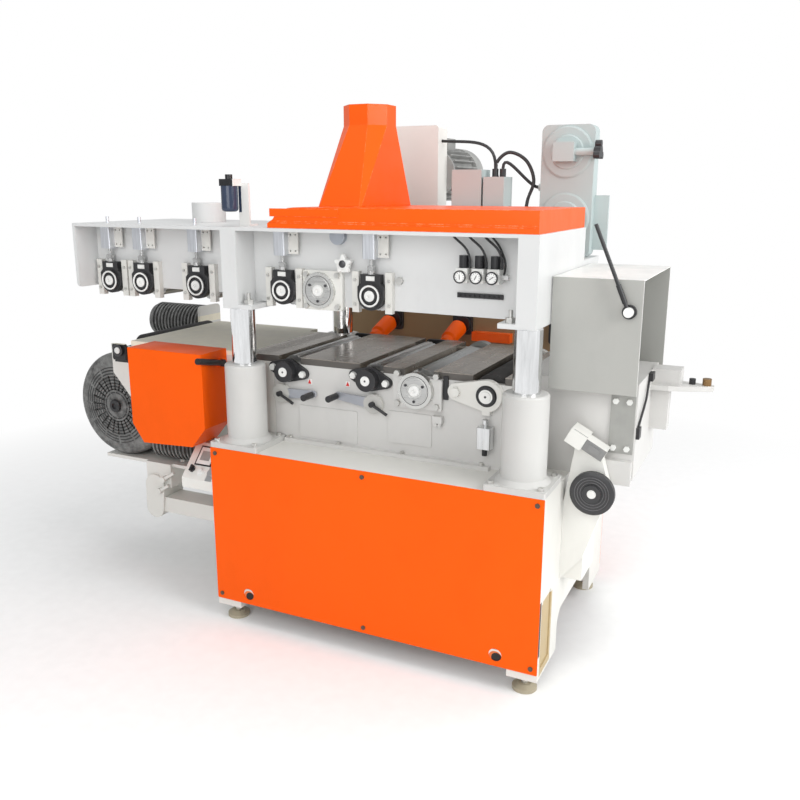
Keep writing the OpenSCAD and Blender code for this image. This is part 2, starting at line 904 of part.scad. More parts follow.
// Tan gear case behind the bed that drives the cardan shafts
module gear_case() {
  left = -640;
  right = 520;
  low = 850;
  high = 1120;
  color("#a07c4e")
    plate_y(case_front, case_front + case_t)
      rounded([left, low], [right, high], 24);
  color(grey_paint) {
    for (x = [-500, 400])
      plate_x(x, x + 16)
        polygon([[base_depth, 480], [base_depth, 680], [case_front, low + 40],
             [case_front + case_t, low], [case_front + case_t, low - 16]]);
    slab([-520, base_depth, 470], [-466, base_depth + 12, 690]);
    slab([380, base_depth, 470], [436, base_depth + 12, 690]);
    slab([-540, case_front, low - 16], [500, case_front + case_t, low]);
  }
  color(orange)
    slab([-12, case_front - 40, 978], [165, case_front, 1018]);
}

// Box bed behind the right-hand columns, with the side pressure arm at its end
module outfeed_bed() {
  left = bed_right;
  right = hood_right;
  front = 300;
  rear = 700;
  wall = 12;
  low = 690;
  color(grey_paint) {
    difference() {
      slab([left, front, base_top + 0], [right, rear, table_z]);
      slab([left + wall, front + wall, base_top - 1], [right - wall, rear - wall, table_z - table_t]);
    }
    slab([right - 84, front - 6, 790], [right - 6, front, 985]);
    slab([right - 120, front - 24, low - 4], [right - 4, front, 768]);
  }
  color(white_paint) {
    plate_z(958, 976)
      polygon([[right, 540], [right + 60, 540], [side_arm_tip, 596], [side_arm_tip, 624],
           [right + 60, 660], [right, 660]]);
    slab([right, 560, 976], [right + 96, 640, 1030]);
    slab([right, 570, 812], [right + 60, 630, 958]);
    rod_z(side_arm_tip - 24, 610, 30, 976, 1000);
    rod_z(right + 130, 610, 22, 976, 996);
  }
  color(steel)
    for (x = [right - 68, right - 24])
      for (z = [808, 966])
        bolt_y(x, z, 18, front - 6, 8);
}

module outfeed_hood() {
  color(grey_paint) {
    difference() {
      slab([hood_left, hood_front, hood_bottom], [hood_right + 8, hood_rear, hood_top]);
      slab([hood_left - 1, hood_front + sheet_t, hood_bottom - 1],
         [hood_right + 9, hood_rear - sheet_t, hood_top - sheet_t]);
    }
    for (y = [[hood_front + sheet_t, 300], [700, hood_rear - sheet_t]])
      slab([hood_left + 20, y[0], hood_bottom], [hood_right - 20, y[1], hood_bottom + 6]);
    rod_y(lever_pivot.x, lever_pivot.y, 44, hood_front - 14, hood_front);
  }
}

module guard_lever() {
  lean = 113.6;
  y = hood_front - 14.3 - 16;
  color(chrome)
    rod_y(lever_pivot.x, lever_pivot.y, 30, y, y + 16);
  color(black)
    rotate_about(lever_pivot.x, lever_pivot.y, lean) {
      rod_x(y + 8, 0, 12, 14, lever_len);
      rod_x(y + 8, 0, 16, 30, 90);
    }
}

// Casting on the end of the base that carries the hand wheel and its gearbox
module wheel_arm() {
  x0 = half_len;
  hub = wheel_place;
  color(white_paint) {
    slab([x0, 255, 330], [x0 + 72, 430, 490]);
    difference() {
      union() {
        plate_y(hub.y + 34, hub.y + 74)
          polygon([[x0, 330], [x0 + 72, 420], [hub.x + 50, hub.z], [hub.x + 6, hub.z + 150],
                   [hub.x - 70, hub.z + 150], [x0, hub.z - 60]]);
        rod_y(hub.x, hub.z, 70, hub.y + 20, hub.y + 75);
      }
      rod_y(hub.x, hub.z, 24 + 2 * slide_gap, hub.y, hub.y + 60);
    }
    translate([hub.x - 32, hub.y + 30, hub.z + 158])
      rotate([0, 28, 0]) {
        translate([-66, -30, -26])
          cube([60, 78, 52]);
        translate([-6, -22, -20])
          cube([74, 60, 40]);
      }
  }
  color(black)
    translate([hub.x - 32, hub.y + 30, hub.z + 158])
      rotate([0, 28, 0])
        translate([10, -26, -10])
          cube([40, 4, 20]);
}

module hand_wheel() {
  hub = wheel_place;
  y = hub.y + 19.7;
  color(black)
    translate([hub.x, y, hub.z])
      rotate([90, 0, 0])
        rotate_extrude()
          polygon([[12, 0], [26, 0], [26, 8], [wheel_d / 2 - 14, 12], [wheel_d / 2, 8],
               [wheel_d / 2, 26], [wheel_d / 2 - 10, 30], [30, 26], [30, 32], [12, 32]]);
  color(chrome)
    rod_y(hub.x, hub.z, 24, y - 36, y + 36);
}

module outfeed_cylinder() {
  y = bed_front - 26;
  low = 782;
  high = 856;
  color(chrome) {
    plate_z(low, high)
      rounded([out_roller_x - 25, y - 20], [out_roller_x + 25, y + 20], 6);
    rod_z(out_roller_x, y, 10, high, out_roller_z - 94);
    rod_z(out_roller_x, y, 20, out_roller_z - 94, out_roller_z - 80);
  }
  color(steel) {
    slab([out_roller_x - 12, y + 20, low + 6], [out_roller_x + 12, bed_front, high - 8]);
    rod_z(out_roller_x, y, 18, low - 26, low);
  }
}

// Swing arms of the outfeed roller, joined by their pivot shaft
module outfeed_arm() {
  axis = [out_roller_x, out_roller_z];
  pivot = [arm_pivot_x, out_roller_z + 4];
  color(white_paint)
    for (y = [bed_front - arm_t - 0.4, bed_rear + 0.4])
      difference() {
        plate_y(y, y + arm_t)
          union() {
            link(pivot, 30, axis, 54);
            translate([axis.x - 14, axis.y - 66])
              square([28, 30]);
          }
        rod_y(axis.x, axis.y, shaft_d + 2 * slide_gap, y - 1, y + arm_t + 1);
      }
  color(steel) {
    rod_y(pivot.x, pivot.y, 30, bed_front - 6, bed_rear + 6);
    bolt_y(pivot.x, pivot.y, 30, bed_front - arm_t - 0.4, 12);
  }
  color(black)
    difference() {
      rod_y(axis.x, axis.y, 66, bed_front - arm_t - 8, bed_front - arm_t);
      rod_y(axis.x, axis.y, shaft_d + 2 * slide_gap, bed_front - arm_t - 9, bed_front - arm_t + 1);
    }
}

module outfeed_roller() {
  color("#2c2a29")
    rod_y(out_roller_x, out_roller_z, out_roller_d, roller_front, roller_rear);
  color(chrome)
    rod_y(out_roller_x, out_roller_z, shaft_d, bed_front - arm_t - 12, bed_rear + arm_t + 6);
}

// Fluted roller outline: one shallow groove per flute
function fluted(r, count, depth) = [
  for (i = [0:count - 1], j = [0:3])
    let (a = (i + [0, 0.55, 0.65, 0.9][j]) * 360 / count, q = j < 2 ? r : r - depth)
      [q * cos(a), q * sin(a)]
];

module fluted_roller(x, z, d, y0, y1) {
  plate_y(y0, y1)
    translate([x, z])
      polygon(fluted(d / 2, flute_count, flute_depth));
}

module lower_roller(x) {
  color(steel)
    fluted_roller(x, low_roller_z, low_roller_d, roller_front, roller_rear);
  color(chrome)
    rod_y(x, low_roller_z, shaft_d, bed_front - hub_t - 3, bed_rear + bearing_t + 8);
}

module infeed_drum() {
  color("#2c2a29")
    rod_y(drum_x, drum_z, low_roller_d, cowl_y + 120, bed_rear - infeed_side_t - 4);
  color(chrome)
    rod_y(drum_x, drum_z, shaft_d, bed_front + 0.5, bed_rear + 6);
}

cardan_y = [bed_rear + bearing_t + 8.4, case_front - output_bearing_t - 0.4];
cardan_angle = atan2(output_zs[0] - low_roller_z, cardan_y[1] - cardan_y[0]);
cardan_len = norm([output_zs[0] - low_roller_z, cardan_y[1] - cardan_y[0]]);

// Cardan shaft between a lower roller and the gear case, in its orange sleeve
module cardan_shaft(x) {
  end_r = 17;
  trim = end_r * tan(cardan_angle);
  color(orange)
    translate([x, cardan_y[0], low_roller_z])
      rotate([cardan_angle - 90, 0, 0])
        rotate_extrude()
          polygon([[0, trim], [end_r, trim], [19, trim + 6], [19, 46], [26, 58], [26, 92], [34, 104],
               [38, cardan_len - 40], [30, cardan_len - 26],
               [end_r, cardan_len - trim - 7], [end_r, cardan_len - trim], [0, cardan_len - trim]]);
}

module cutterhead_body(x, z, y0, y1) {
  body = cutter_d / 2 - 4;
  plate_y(y0, y1)
    translate([x, z])
      difference() {
        circle(body);
        for (i = [0:knife_count - 1])
          rotate(i * 360 / knife_count)
            translate([body - 9, 3])
              square([14, 16]);
      }
  for (i = [0:knife_count - 1])
    plate_y(y0 + 2, y1 - 2)
      translate([x, z])
        rotate(i * 360 / knife_count)
          polygon([[body - 10, -1], [body + 2, 0], [cutter_d / 2, 2.2], [cutter_d / 2 - 1, 4],
               [body - 10, 5]]);
}

module lower_cutterhead() {
  color(steel)
    cutterhead_body(lower_cutter_x, lower_cutter_z, roller_front, roller_rear);
  color(chrome)
    rod_y(lower_cutter_x, lower_cutter_z, spindle_d, bed_front - 22, belt_case_y + 28);
}

module upper_cutterhead() {
  color(steel)
    cutterhead_body(upper_cutter_x, upper_cutter_z, web_y + plate_t + 14, rear_web_y - 14);
  color(chrome) {
    rod_y(upper_cutter_x, upper_cutter_z, spindle_d, web_y - 14, pulley_y + pulley_t);
    rod_y(upper_cutter_x, upper_cutter_z, cutter_pulley_d, pulley_y, pulley_y + pulley_t);
  }
}

module adjust_lever(place, reach, angle) {
  y = bed_front - 0.4;
  grip_len = 64;
  color(white_paint)
    difference() {
      union() {
        rod_y(place.x, place.y, disc_d, y - disc_t, y);
        plate_y(y - disc_t, y - disc_t + 10)
          rotate_plane(place, angle)
            link([0, 0], 20, [reach, 0], 13);
      }
      rod_y(place.x, place.y, 13, y - disc_t - 1, y - disc_t + 5);
    }
  tip = place + reach * [cos(angle), sin(angle)];
  color(black) {
    rod_y(tip.x, tip.y, 12, y - disc_t - 12, y - disc_t);
    rod_y(tip.x, tip.y, 24, y - disc_t - grip_len, y - disc_t - 8);
    rod_y(place.x, place.y, 20, y - disc_t - 16, y - disc_t);
    rotate_about(place.x, place.y, -28)
      rod_x(y - disc_t - 9, 0, 11, 0, 68);
  }
}

module rotate_plane(place, angle) {
  translate(place)
    rotate(angle)
      children();
}

// Fabricated head: front and rear webs, flanges, end plates, stiffeners and foot plates
module head_frame() {
  notch = 26;
  front_outline = [
    [head_left, overhang_bottom], [left_stiffener - stiffener_w - notch, overhang_bottom],
    [left_stiffener - stiffener_w, overhang_bottom - notch], [left_stiffener - stiffener_w, head_rest],
    [left_stiffener, head_rest], [left_stiffener + 20, web_bottom], [right_stiffener, web_bottom - 6],
    [right_stiffener, head_rest], [head_right, head_rest]
  ];
  color(grey_paint)
    difference() {
      union() {
        plate_y(web_y, web_y + plate_t)
          polygon(concat(front_outline, [[head_right, head_top], [head_left, head_top]]));
        plate_y(rear_web_y, rear_web_y + plate_t)
          polygon(concat(front_outline, [[head_right, rear_top], [head_left, rear_top]]));
        slab([head_left, head_front, flange_bottom], [head_right, head_step_y, head_top]);
        slab([head_left, head_step_y - plate_t, rear_flange_bottom],
           [head_right, head_rear, rear_top]);
        slab([head_left, head_step_y - plate_t, rear_flange_bottom],
           [head_right, head_step_y, head_top]);
        plate_x(head_left, head_left + plate_t)
          end_plate_outline(overhang_bottom);
        plate_x(head_right - plate_t, head_right)
          end_plate_outline(head_rest);
        for (x = [left_stiffener - stiffener_w, right_stiffener]) {
          slab([x, head_front, head_rest], [x + stiffener_w, web_y, flange_bottom]);
          slab([x, rear_web_y + plate_t, head_rest], [x + stiffener_w, head_rear, rear_flange_bottom]);
        }
        for (x = [left_stiffener - stiffener_w, 60, right_stiffener + 20])
          slab([x, web_y + plate_t, web_bottom + 30], [x + plate_t, rear_web_y, rear_top - 2]);
        foot_plates();
      }
      for (x = roller_xs)
        for (y = [web_y - 1, rear_web_y - 1])
          plate_y(y, y + plate_t + 2)
            shaft_slot(x);
      for (y = [web_y - 1, rear_web_y - 1])
        rod_y(upper_cutter_x, upper_cutter_z, 104, y, y + plate_t + 2);
      slab([chute_x[0] + 6, web_y + plate_t + 30, flange_bottom - 1],
         [chute_x[1] - 6, head_step_y - 50, head_top + 1]);
      rod_z(collar_place.x, collar_place.y, collar_d - 8, flange_bottom - 1, head_top + 1);
    }
}

chute_x = [-275, -105];
chute_y = [205, 622];
chute_top_place = [-187, 437];
chute_bevel = 6;
collar_place = [-900, 400];

module end_plate_outline(low) {
  r = 18;
  difference() {
    union() {
      translate([head_front, low])
        square([head_step_y - head_front, head_top - low]);
      translate([head_step_y - 1, low])
        square([head_rear - head_step_y + 1, rear_top - low]);
    }
    corner_cut([head_front, low], [1, 1], r);
    corner_cut([head_front, head_top], [1, -1], r);
  }
}

// Rounds one corner of an outline by cutting what lies outside its arc
module corner_cut(corner, inward, r) {
  centre = corner + r * inward;
  difference() {
    translate([min(corner.x, centre.x) - (inward.x > 0 ? 1 : 0),
           min(corner.y, centre.y) - (inward.y > 0 ? 1 : 0)])
      square(r + 1);
    translate(centre)
      circle(r);
  }
}

module shaft_slot(x) {
  translate([x - slot_w / 2, roller_z - float_down - 6])
    square([slot_w, float_down + float_up + 12]);
  for (z = [roller_z - float_down - 6, roller_z + float_up + 6])
    translate([x, z])
      circle(d = slot_w);
}

module foot_plates() {
  inner = 118;
  for (side = [-1, 1])
    for (y = [[head_front, web_y + plate_t], [rear_web_y, head_rear]]) {
      x0 = side < 0 ? left_stiffener - stiffener_w : head_right - inner - 6;
      slab([x0, y[0], head_rest], [x0 + inner + 6, y[1], head_rest + foot_plate_t]);
    }
}

// Chromed posts that slide in the sleeves, with the lift screws below them
module guide_posts() {
  screw_top = head_rest - post_len;
  for (p = column_places) {
    color(chrome)
      rod_z(p.x, p.y, post_d, screw_top, head_rest);
    color(steel)
      rod_z(p.x, p.y, screw_d, 340, screw_top);
  }
}

module head_fasteners() {
  color(steel) {
    for (x = [-column_x + 36, column_x - 57])
      for (y = [head_front + 30, head_rear - 30]) {
        bolt_z(x, y, 30, head_rest + foot_plate_t, 16);
        rod_z(x, y, 14, head_rest + foot_plate_t + 16, head_rest + foot_plate_t + 40);
      }
    for (x = [roller_xs[3] + block_half + rail_w + 18, upper_cutter_x + housing_w / 2 - 18])
      for (dz = [-1, 1])
        bolt_y(x, upper_cutter_z + dz * (housing_h / 2 - 14), 18, web_y - 16, 12);
    bolt_y(62, upper_cutter_z + 46, 24, web_y, 12);
    difference() {
      rod_y(-170, flange_bottom - 15, 58, web_y - 20, web_y);
      slab([-210, web_y - 21, flange_bottom - 0.4], [-130, web_y + 1, flange_bottom + 20]);
    }
    for (x = roller_xs)
      for (side = [-1, 1])
        for (z = [-42, 42])
          bolt_y(x + side * (block_half + rail_w / 2 + 2), roller_z + 10 + z, 10, web_y - rail_t, 6);
  }
  color(white_paint) {
    rod_y(-140, upper_cutter_z + 93, 50, web_y - 34, web_y - 20);
    rod_y(-140, upper_cutter_z + 93, 12, web_y - 20, web_y);
  }
}

module cover_outline(inset) {
  left = -392;
  right = head_right - 4;
  top = head_top + cover_h;
  bend = 46;
  polygon(concat(
    [[left + inset, head_top - (inset > 0 ? 1 : 0)], [right - inset, head_top - (inset > 0 ? 1 : 0)],
     [right - inset, top - inset]],
    [for (a = [0:15:75])
      [left + 110 + inset - 90 * sin(a) , top - inset - (cover_h - 16) * (1 - cos(a))]],
    [[left + inset, head_top + 16]]));
}

module top_cover() {
  y0 = head_front + 2;
  y1 = head_step_y - 10;
  color(orange) {
    difference() {
      plate_y(y0, y1)
        cover_outline(0);
      plate_y(y0 + sheet_t, y1 - sheet_t)
        cover_outline(sheet_t);
      slab([chute_x[0] + 8, chute_y[0] + 8, head_top + 20],
         [chute_x[1] - 8, chute_y[1] - 8, head_top + cover_h + 1]);
    }
    slab([-380, y0 - 1.5, head_top + 18], [head_right - 8, y0, head_top + 24]);
  }
}

// Eight corners round the foot of the chute, with its own corners cut off.
function chute_foot(z, inset) =
  [for (a = [22.5:45:337.5])
    let (side = [sign(cos(a)), sign(sin(a))],
       along = abs(cos(a)) > abs(sin(a)) ? [0, 1] : [1, 0])
    [(side.x > 0 ? chute_x[1] : chute_x[0]) - side.x * (inset + chute_bevel * along.x),
     (side.y > 0 ? chute_y[1] : chute_y[0]) - side.y * (inset + chute_bevel * along.y), z]];
// Eight corners round its neck, in the same order.
function chute_ring(z, inset) =
  [for (a = [22.5:45:337.5])
    [chute_top_place.x + (neck_d / 2 - inset) * cos(a),
     chute_top_place.y + (neck_d / 2 - inset) * sin(a), z]];

// Sheet-metal chute from the rectangular opening in the cover to the eight-sided neck
module dust_chute() {
  low = head_top + cover_h;
  shoulder = low + chute_h;
  top = shoulder + neck_h;
  points = concat(
    chute_foot(low, 0), chute_ring(shoulder, 0), chute_ring(top, 0),
    chute_ring(top, sheet_t), chute_ring(shoulder, sheet_t), chute_foot(low, sheet_t));
  rings = len(points) / 8;
  color(orange)
    polyhedron(points, [
      for (r = [0:rings - 1], k = [0:7])
        let (a = r * 8 + k, b = r * 8 + (k + 1) % 8,
           c = (r + 1) % rings * 8 + (k + 1) % 8, d = (r + 1) % rings * 8 + k)
        [a, d, c, b]]);
}

module upper_cutter_housings() {
  cap_d = 126;
  plate_left = roller_xs[3] + block_half + block_gap + rail_w + 1;
  color(white_paint) {
    difference() {
      union() {
        plate_y(web_y - 16, web_y)
          rounded([plate_left, upper_cutter_z - housing_h / 2],
                  [upper_cutter_x + housing_w / 2, upper_cutter_z + housing_h / 2], 8);
        rod_y(upper_cutter_x, upper_cutter_z, cap_d, web_y - 28, web_y - 16);
        rod_y(upper_cutter_x, upper_cutter_z, 103, web_y, web_y + plate_t);
      }
      rod_y(upper_cutter_x, upper_cutter_z, spindle_d + 2 * slide_gap, web_y - 18, web_y + plate_t + 1);
    }
    difference() {
      union() {
        rod_y(upper_cutter_x, upper_cutter_z, 103, rear_web_y, rear_web_y + plate_t);
        rod_y(upper_cutter_x, upper_cutter_z, cap_d, rear_web_y + plate_t, guard_y);
      }
      rod_y(upper_cutter_x, upper_cutter_z, spindle_d + 2 * slide_gap, rear_web_y - 1, guard_y + 1);
    }
  }
}

rail_t = block_t - 2;

module roller_guides() {
  inner = block_half + block_gap;
  color(white_paint)
    for (x = roller_xs)
      for (side = [-1, 1]) {
        plate_y(web_y - rail_t, web_y)
          translate([x + side * (inner + rail_w / 2), roller_z + 10])
            square([rail_w, rail_h], center = true);
        plate_y(rear_web_y + plate_t, rear_web_y + plate_t + rail_t)
          translate([x + side * (inner + rail_w / 2), roller_z + 10])
            square([rail_w, rail_h], center = true);
      }
}

cylinder_bottom = flange_bottom - cylinder_len;
cylinder_y = web_y - 2 - cylinder_w;
rear_cylinder_bottom = rear_flange_bottom + 2;

module air_cylinders() {
  y0 = cylinder_y;
  for (x = roller_xs) {
    color(chrome)
      difference() {
        plate_z(cylinder_bottom, flange_bottom)
          rounded([x - cylinder_w / 2, y0], [x + cylinder_w / 2, y0 + cylinder_w], 5);
        rod_z(x, y0 + cylinder_w / 2, rod_d + 2 * rod_gap, cylinder_bottom - 1, cylinder_bottom + 60);
      }
    color(white_paint) {
      difference() {
        slab([x + cylinder_w / 2, y0 + 28, cylinder_bottom + 4], [x + 62, y0 + 34, flange_bottom]);
        for (dx = [32, 53], z = [cylinder_bottom + 16, flange_bottom - 14])
          rod_y(x + dx, z, 7, y0 + 27, y0 + 35);
      }
      slab([x + 38, y0 + 34, cylinder_bottom + 24], [x + 48, web_y, flange_bottom - 22]);
    }
  }
  color(steel)
    for (x = [for (place = roller_xs) if (place < left_stiffener - stiffener_w) place])
      rod_z(x, y0 + cylinder_w / 2, 12, head_top, head_top + 24);
}

regulator_xs = [302, 356, 409];

// Three air regulators with gauges, the valve strip and the air lubricator
module air_regulators() {
  z = 1362;
  y = web_y - 52;
  for (x = regulator_xs) {
    color(white_paint) {
      slab([x - 20, y, z - 20], [x + 20, web_y, z + 26]);
      rod_y(x, z, 40, y - 16, y);
    }
    color(black)
      rod_z(x, y + 22, 32, z + 26, z + 66);
  }
  color(steel)
    slab([regulator_xs[0] - 34, y + 16, z - 6], [regulator_xs[2] + 44, y + 30, z + 8]);
  color(black)
    difference() {
      slab([271, web_y - 6, 1289], [429, web_y, 1305]);
      for (i = [0:8])
        rod_y(284 + i * 16.5, 1297, 7, web_y - 7, web_y - 2);
    }
  bowl = [-602, 140];
  color(white_paint) {
    slab([bowl.x + 20, bowl.y + 26, head_top], [bowl.x + 64, bowl.y + 34, head_top + 150]);
    slab([bowl.x + 20, bowl.y + 26, head_top], [bowl.x + 64, bowl.y + 80, head_top + 6]);
    slab([bowl.x - 26, bowl.y - 24, head_top + 140], [bowl.x + 34, bowl.y + 26, head_top + 164]);
  }
  color("#7f9fc0")
    translate([bowl.x, bowl.y, head_top + 50])
      rotate_extrude()
        polygon(concat([for (a = [0:15:90]) [18 + 12 * sin(a), 12 - 12 * cos(a)]],
                 [[30, 90], [0, 90], [0, 0]]));
  color(black)
    rod_z(bowl.x, bowl.y, 26, head_top + 164, head_top + 180);
  color(grey_paint)
    difference() {
      rod_z(collar_place.x, collar_place.y, collar_d, head_top, head_top + 76);
      rod_z(collar_place.x, collar_place.y, collar_d - 8, head_top - 1, head_top + 77);
    }
}

// Sweeps a round cable of 8 sides along points that never run straight along Y
module cable(points, d) {
  sides = 8;
  count = len(points);
  function unit(v) = v / norm(v);
  rings = [
    for (i = [0:count - 1])
      let (t = unit(points[min(i + 1, count - 1)] - points[max(i - 1, 0)]),
         u = unit(cross(t, [0, 1, 0])), v = cross(t, u))
        [for (k = [0:sides - 1])
          points[i] + d / 2 * (u * cos(k * 360 / sides) + v * sin(k * 360 / sides))]
  ];
  polyhedron(
    points = [for (ring = rings) each ring],
    faces = concat(
      [[for (k = [0:sides - 1]) k]],
      [[for (k = [0:sides - 1]) count * sides - 1 - k]],
      [for (i = [0:count - 2], k = [0:sides - 1])
        let (a = i * sides + k, b = i * sides + (k + 1) % sides)
          each [[a, b + sides, b], [a, a + sides, b + sides]]]));
}

// Points of a smooth curve through four control points
function curve(a, b, c, d, steps) = [
  for (i = [0:steps])
    let (t = i / steps, s = 1 - t)
      s * s * s * a + 3 * s * s * t * b + 3 * s * t * t * c + t * t * t * d
];

junction_x = [[30, 150], [158, 240]];
junction_top = [1705, 1678];
junction_y = [700, 800];

module cables_and_hoses() {
  hose_d = 8;
  z = 1362;
  y = web_y - 40;
  color(black) {
    for (x = regulator_xs)
      cable(curve([x - 34, y, flange_bottom - 3], [x - 10, y, flange_bottom - 28],
            [x + 26, y, z + 96], [x + 26, y, z + 26.3], 8), hose_d);
    for (dx = [30, 60])
      rod_z(junction_x[1][0] + dx, 750, 24, junction_top[1] + 0.3, junction_top[1] + 30);
    cable(curve([guard_mid + guard_w / 2 + 0.9, guard_y + 40, guard_top - 60],
          [guard_mid + guard_w / 2 + 120, guard_y + 40, guard_top - 70],
          [junction_x[1][0] + 30, 760, junction_top[1] + 150],
          [junction_x[1][0] + 30, 750, junction_top[1] + 30.3], 14), 12);
    cable(curve([junction_x[1][0] + 60, 750, junction_top[1] + 30.3],
          [junction_x[1][0] + 60, 750, junction_top[1] + 110],
          [tower_x[0] - 60, tower_y + 35, 1640], [tower_x[0] - 15.7, tower_y + 35, 1640], 12), 12);
  }
}

module belt_guard() {
  left = guard_mid - guard_w / 2;
  right = guard_mid + guard_w / 2;
  color(grey_paint)
    difference() {
      plate_y(guard_y, guard_y + guard_t)
        rounded([left, guard_bottom], [right, guard_top], 12);
      plate_y(guard_y + sheet_t, guard_y + guard_t - 12)
        rounded([left + sheet_t, guard_bottom + sheet_t], [right - sheet_t, guard_top - sheet_t], 9);
      rod_y(upper_cutter_x, upper_cutter_z, 110, guard_y - 1, guard_y + sheet_t + 1);
      rod_y(motor_x, motor_z, 60, guard_y + guard_t - 13, guard_y + guard_t + 1);
    }
  color(grey_paint)
    for (x = [left + 30, right - 60])
      slab([x, head_rear, rear_flange_bottom], [x + 30, guard_y, rear_top]);
}

belt_t = 9;
belt_w = 18;

// A closed path round two pulleys, its two arcs cut into equal steps.
function belt_path(a, ra, b, rb, steps) =
  let (along = atan2(b.y - a.y, b.x - a.x), lean = acos((ra - rb) / norm(b - a)))
  concat(
    [for (i = [0:steps])
      let (t = along + lean + (360 - 2 * lean) * i / steps)
      a + ra * [cos(t), sin(t)]],
    [for (i = [0:steps])
      let (t = along - lean + 2 * lean * i / steps)
      b + rb * [cos(t), sin(t)]]);
module belt_outline(out) {
  polygon(belt_path([upper_cutter_x, upper_cutter_z], cutter_pulley_d / 2 + out,
            [motor_x, motor_z], motor_pulley_d / 2 + out, 24));
}
module drive_belts() {
  wrap = 0.4;
  color(black)
    for (y = [pulley_y + 4, pulley_y + 28])
      plate_y(y, y + belt_w)
        difference() {
          belt_outline(belt_t + wrap);
          belt_outline(wrap);
        }
}

module upper_motor_pulley() {
  color(iron)
    rod_y(motor_x, motor_z, motor_pulley_d, pulley_y, pulley_y + pulley_t);
  color(chrome)
    rod_y(motor_x, motor_z, 38, pulley_y, motor_front + 20);
}

module upper_motor() {
  back = motor_front + motor_len;
  color(grey_paint) {
    difference() {
      union() {
        finned_body(motor_d, motor_front + 12, back - 60, motor_x, motor_z, fin_count);
        rod_y(motor_x, motor_z, motor_d - 20, motor_front, motor_front + 14);
      }
      rod_y(motor_x, motor_z, 38 + 2 * slide_gap, motor_front - 1, motor_front + 30);
    }
    translate([motor_x, back - 70, motor_z])
      rotate([-90, 0, 0])
        rotate_extrude()
          polygon([[0, 0], [motor_d / 2 + 2, 0], [motor_d / 2 + 2, 76], [motor_d / 2 - 14, 94],
               [0, 94]]);
    slab([motor_x - 45, motor_front + 60, motor_z + motor_d / 2 - 12],
       [motor_x + 45, motor_front + 150, motor_z + motor_d / 2 + 36]);
  }
}

tower_x = [363, 560];
tower_y = 760;
tower_t = 70;
tower_top = 1862;
tower_centre = 461;
tower_upper_z = 1765;
tower_lower_z = 1528;

// Tall variable-speed drive casing with two round bosses
module drive_tower() {
  low = rear_top;
  color(grey_paint) {
    difference() {
      union() {
        plate_y(tower_y, tower_y + tower_t)
          rounded([tower_x[0], low], [tower_x[1], tower_top], 26);
        for (z = [tower_upper_z, tower_lower_z])
          translate([tower_centre, tower_y, z])
            rotate([90, 0, 0])
              rotate_extrude()
                polygon([[0, -1], [92, -1], [92, 4], [86, 7], [62, 7], [58, 12], [0, 12]]);
        slab([tower_centre - 42, tower_y - 52, tower_upper_z - 34],
           [tower_centre + 36, tower_y - 12, tower_upper_z + 34]);
        rod_x(tower_y - 32, tower_upper_z, 26, tower_centre + 36, tower_x[1] + 5.6);
      }
      rod_x(tower_y - 32, tower_upper_z, 14 + 2 * slide_gap, tower_centre, tower_x[1] + 7);
    }
    slab([tower_x[1], tower_y + 40, 1413], [tower_x[1] + 54, tower_y + 52, 1612]);
    rod_y(tower_centre, tower_lower_z, 150, tower_y + tower_t, tower_y + tower_t + 180);
    rod_x(tower_y + 35, 1640, 26, tower_x[0] - 14, tower_x[0]);
    for (i = [0, 1])
      slab([junction_x[i][0], junction_y[0], rear_top], [junction_x[i][1], junction_y[1], junction_top[i]]);
  }
}

module speed_knob() {
  x = tower_x[1] + 6;
  color(chrome)
    rod_x(tower_y - 32, tower_upper_z, 14, tower_centre + 40, x + 6);
  color(black) {
    rod_x(tower_y - 32, tower_upper_z, 30, x, x + 14);
    for (i = [0:2])
      translate([x + 4, tower_y - 32, tower_upper_z])
        rotate([i * 120, 0, 0])
          rod_x(0, 26, 26, 0, 22);
    rod_x(tower_y - 32, tower_upper_z, 44, x + 4, x + 26);
  }
}

// Cast bearing block of an upper feed roller with its collar and piston rod
module block_pair(x) {
  rod_y0 = cylinder_y + cylinder_w / 2;
  color(black) {
    for (y = [block_front, rear_block_y]) {
      front = y == block_front;
      difference() {
        union() {
          plate_y(y, y + block_t)
            translate([x, roller_z]) {
              circle(block_r);
              translate([-block_half, 0])
                square([2 * block_half, 30]);
              polygon([[-block_half, 30], [block_half, 30], [neck_half, 42], [-neck_half, 42]]);
              translate([-neck_half, 40])
                square([2 * neck_half, block_top - 40]);
            }
          if (front)
            rod_y(x, roller_z, 82, y - 8, y + 1);
        }
        rod_y(x, roller_z, shaft_d + 2 * slide_gap, y - 9, y + block_t + 1);
        if (front)
          difference() {
            rod_y(x, roller_z, 70, y - 9, y - 2);
            rod_y(x, roller_z, 52, y - 10, y - 1);
          }
      }
    }
  }
  color(white_paint)
    slab([x - 16, block_front - 2, roller_z + 52], [x + 16, block_front, roller_z + 66]);
  color(steel) {
    rod_z(x, rod_y0, rod_d, roller_z + block_top, cylinder_bottom + rod_reach);
    rod_z(x, rod_y0, 26, roller_z + block_top, roller_z + block_top + 12);
    slab([x - 10, rod_y0 - 10, roller_z + block_top + 12],
       [x + 10, rod_y0 + 10, roller_z + block_top + 28]);
  }
}

module feed_roller(x) {
  color(steel)
    fluted_roller(x, roller_z, roller_d, roller_mid_y - roller_len / 2, roller_mid_y + roller_len / 2);
  color(chrome)
    rod_y(x, roller_z, shaft_d, block_front - 6, rear_block_y + block_t + 6);
}

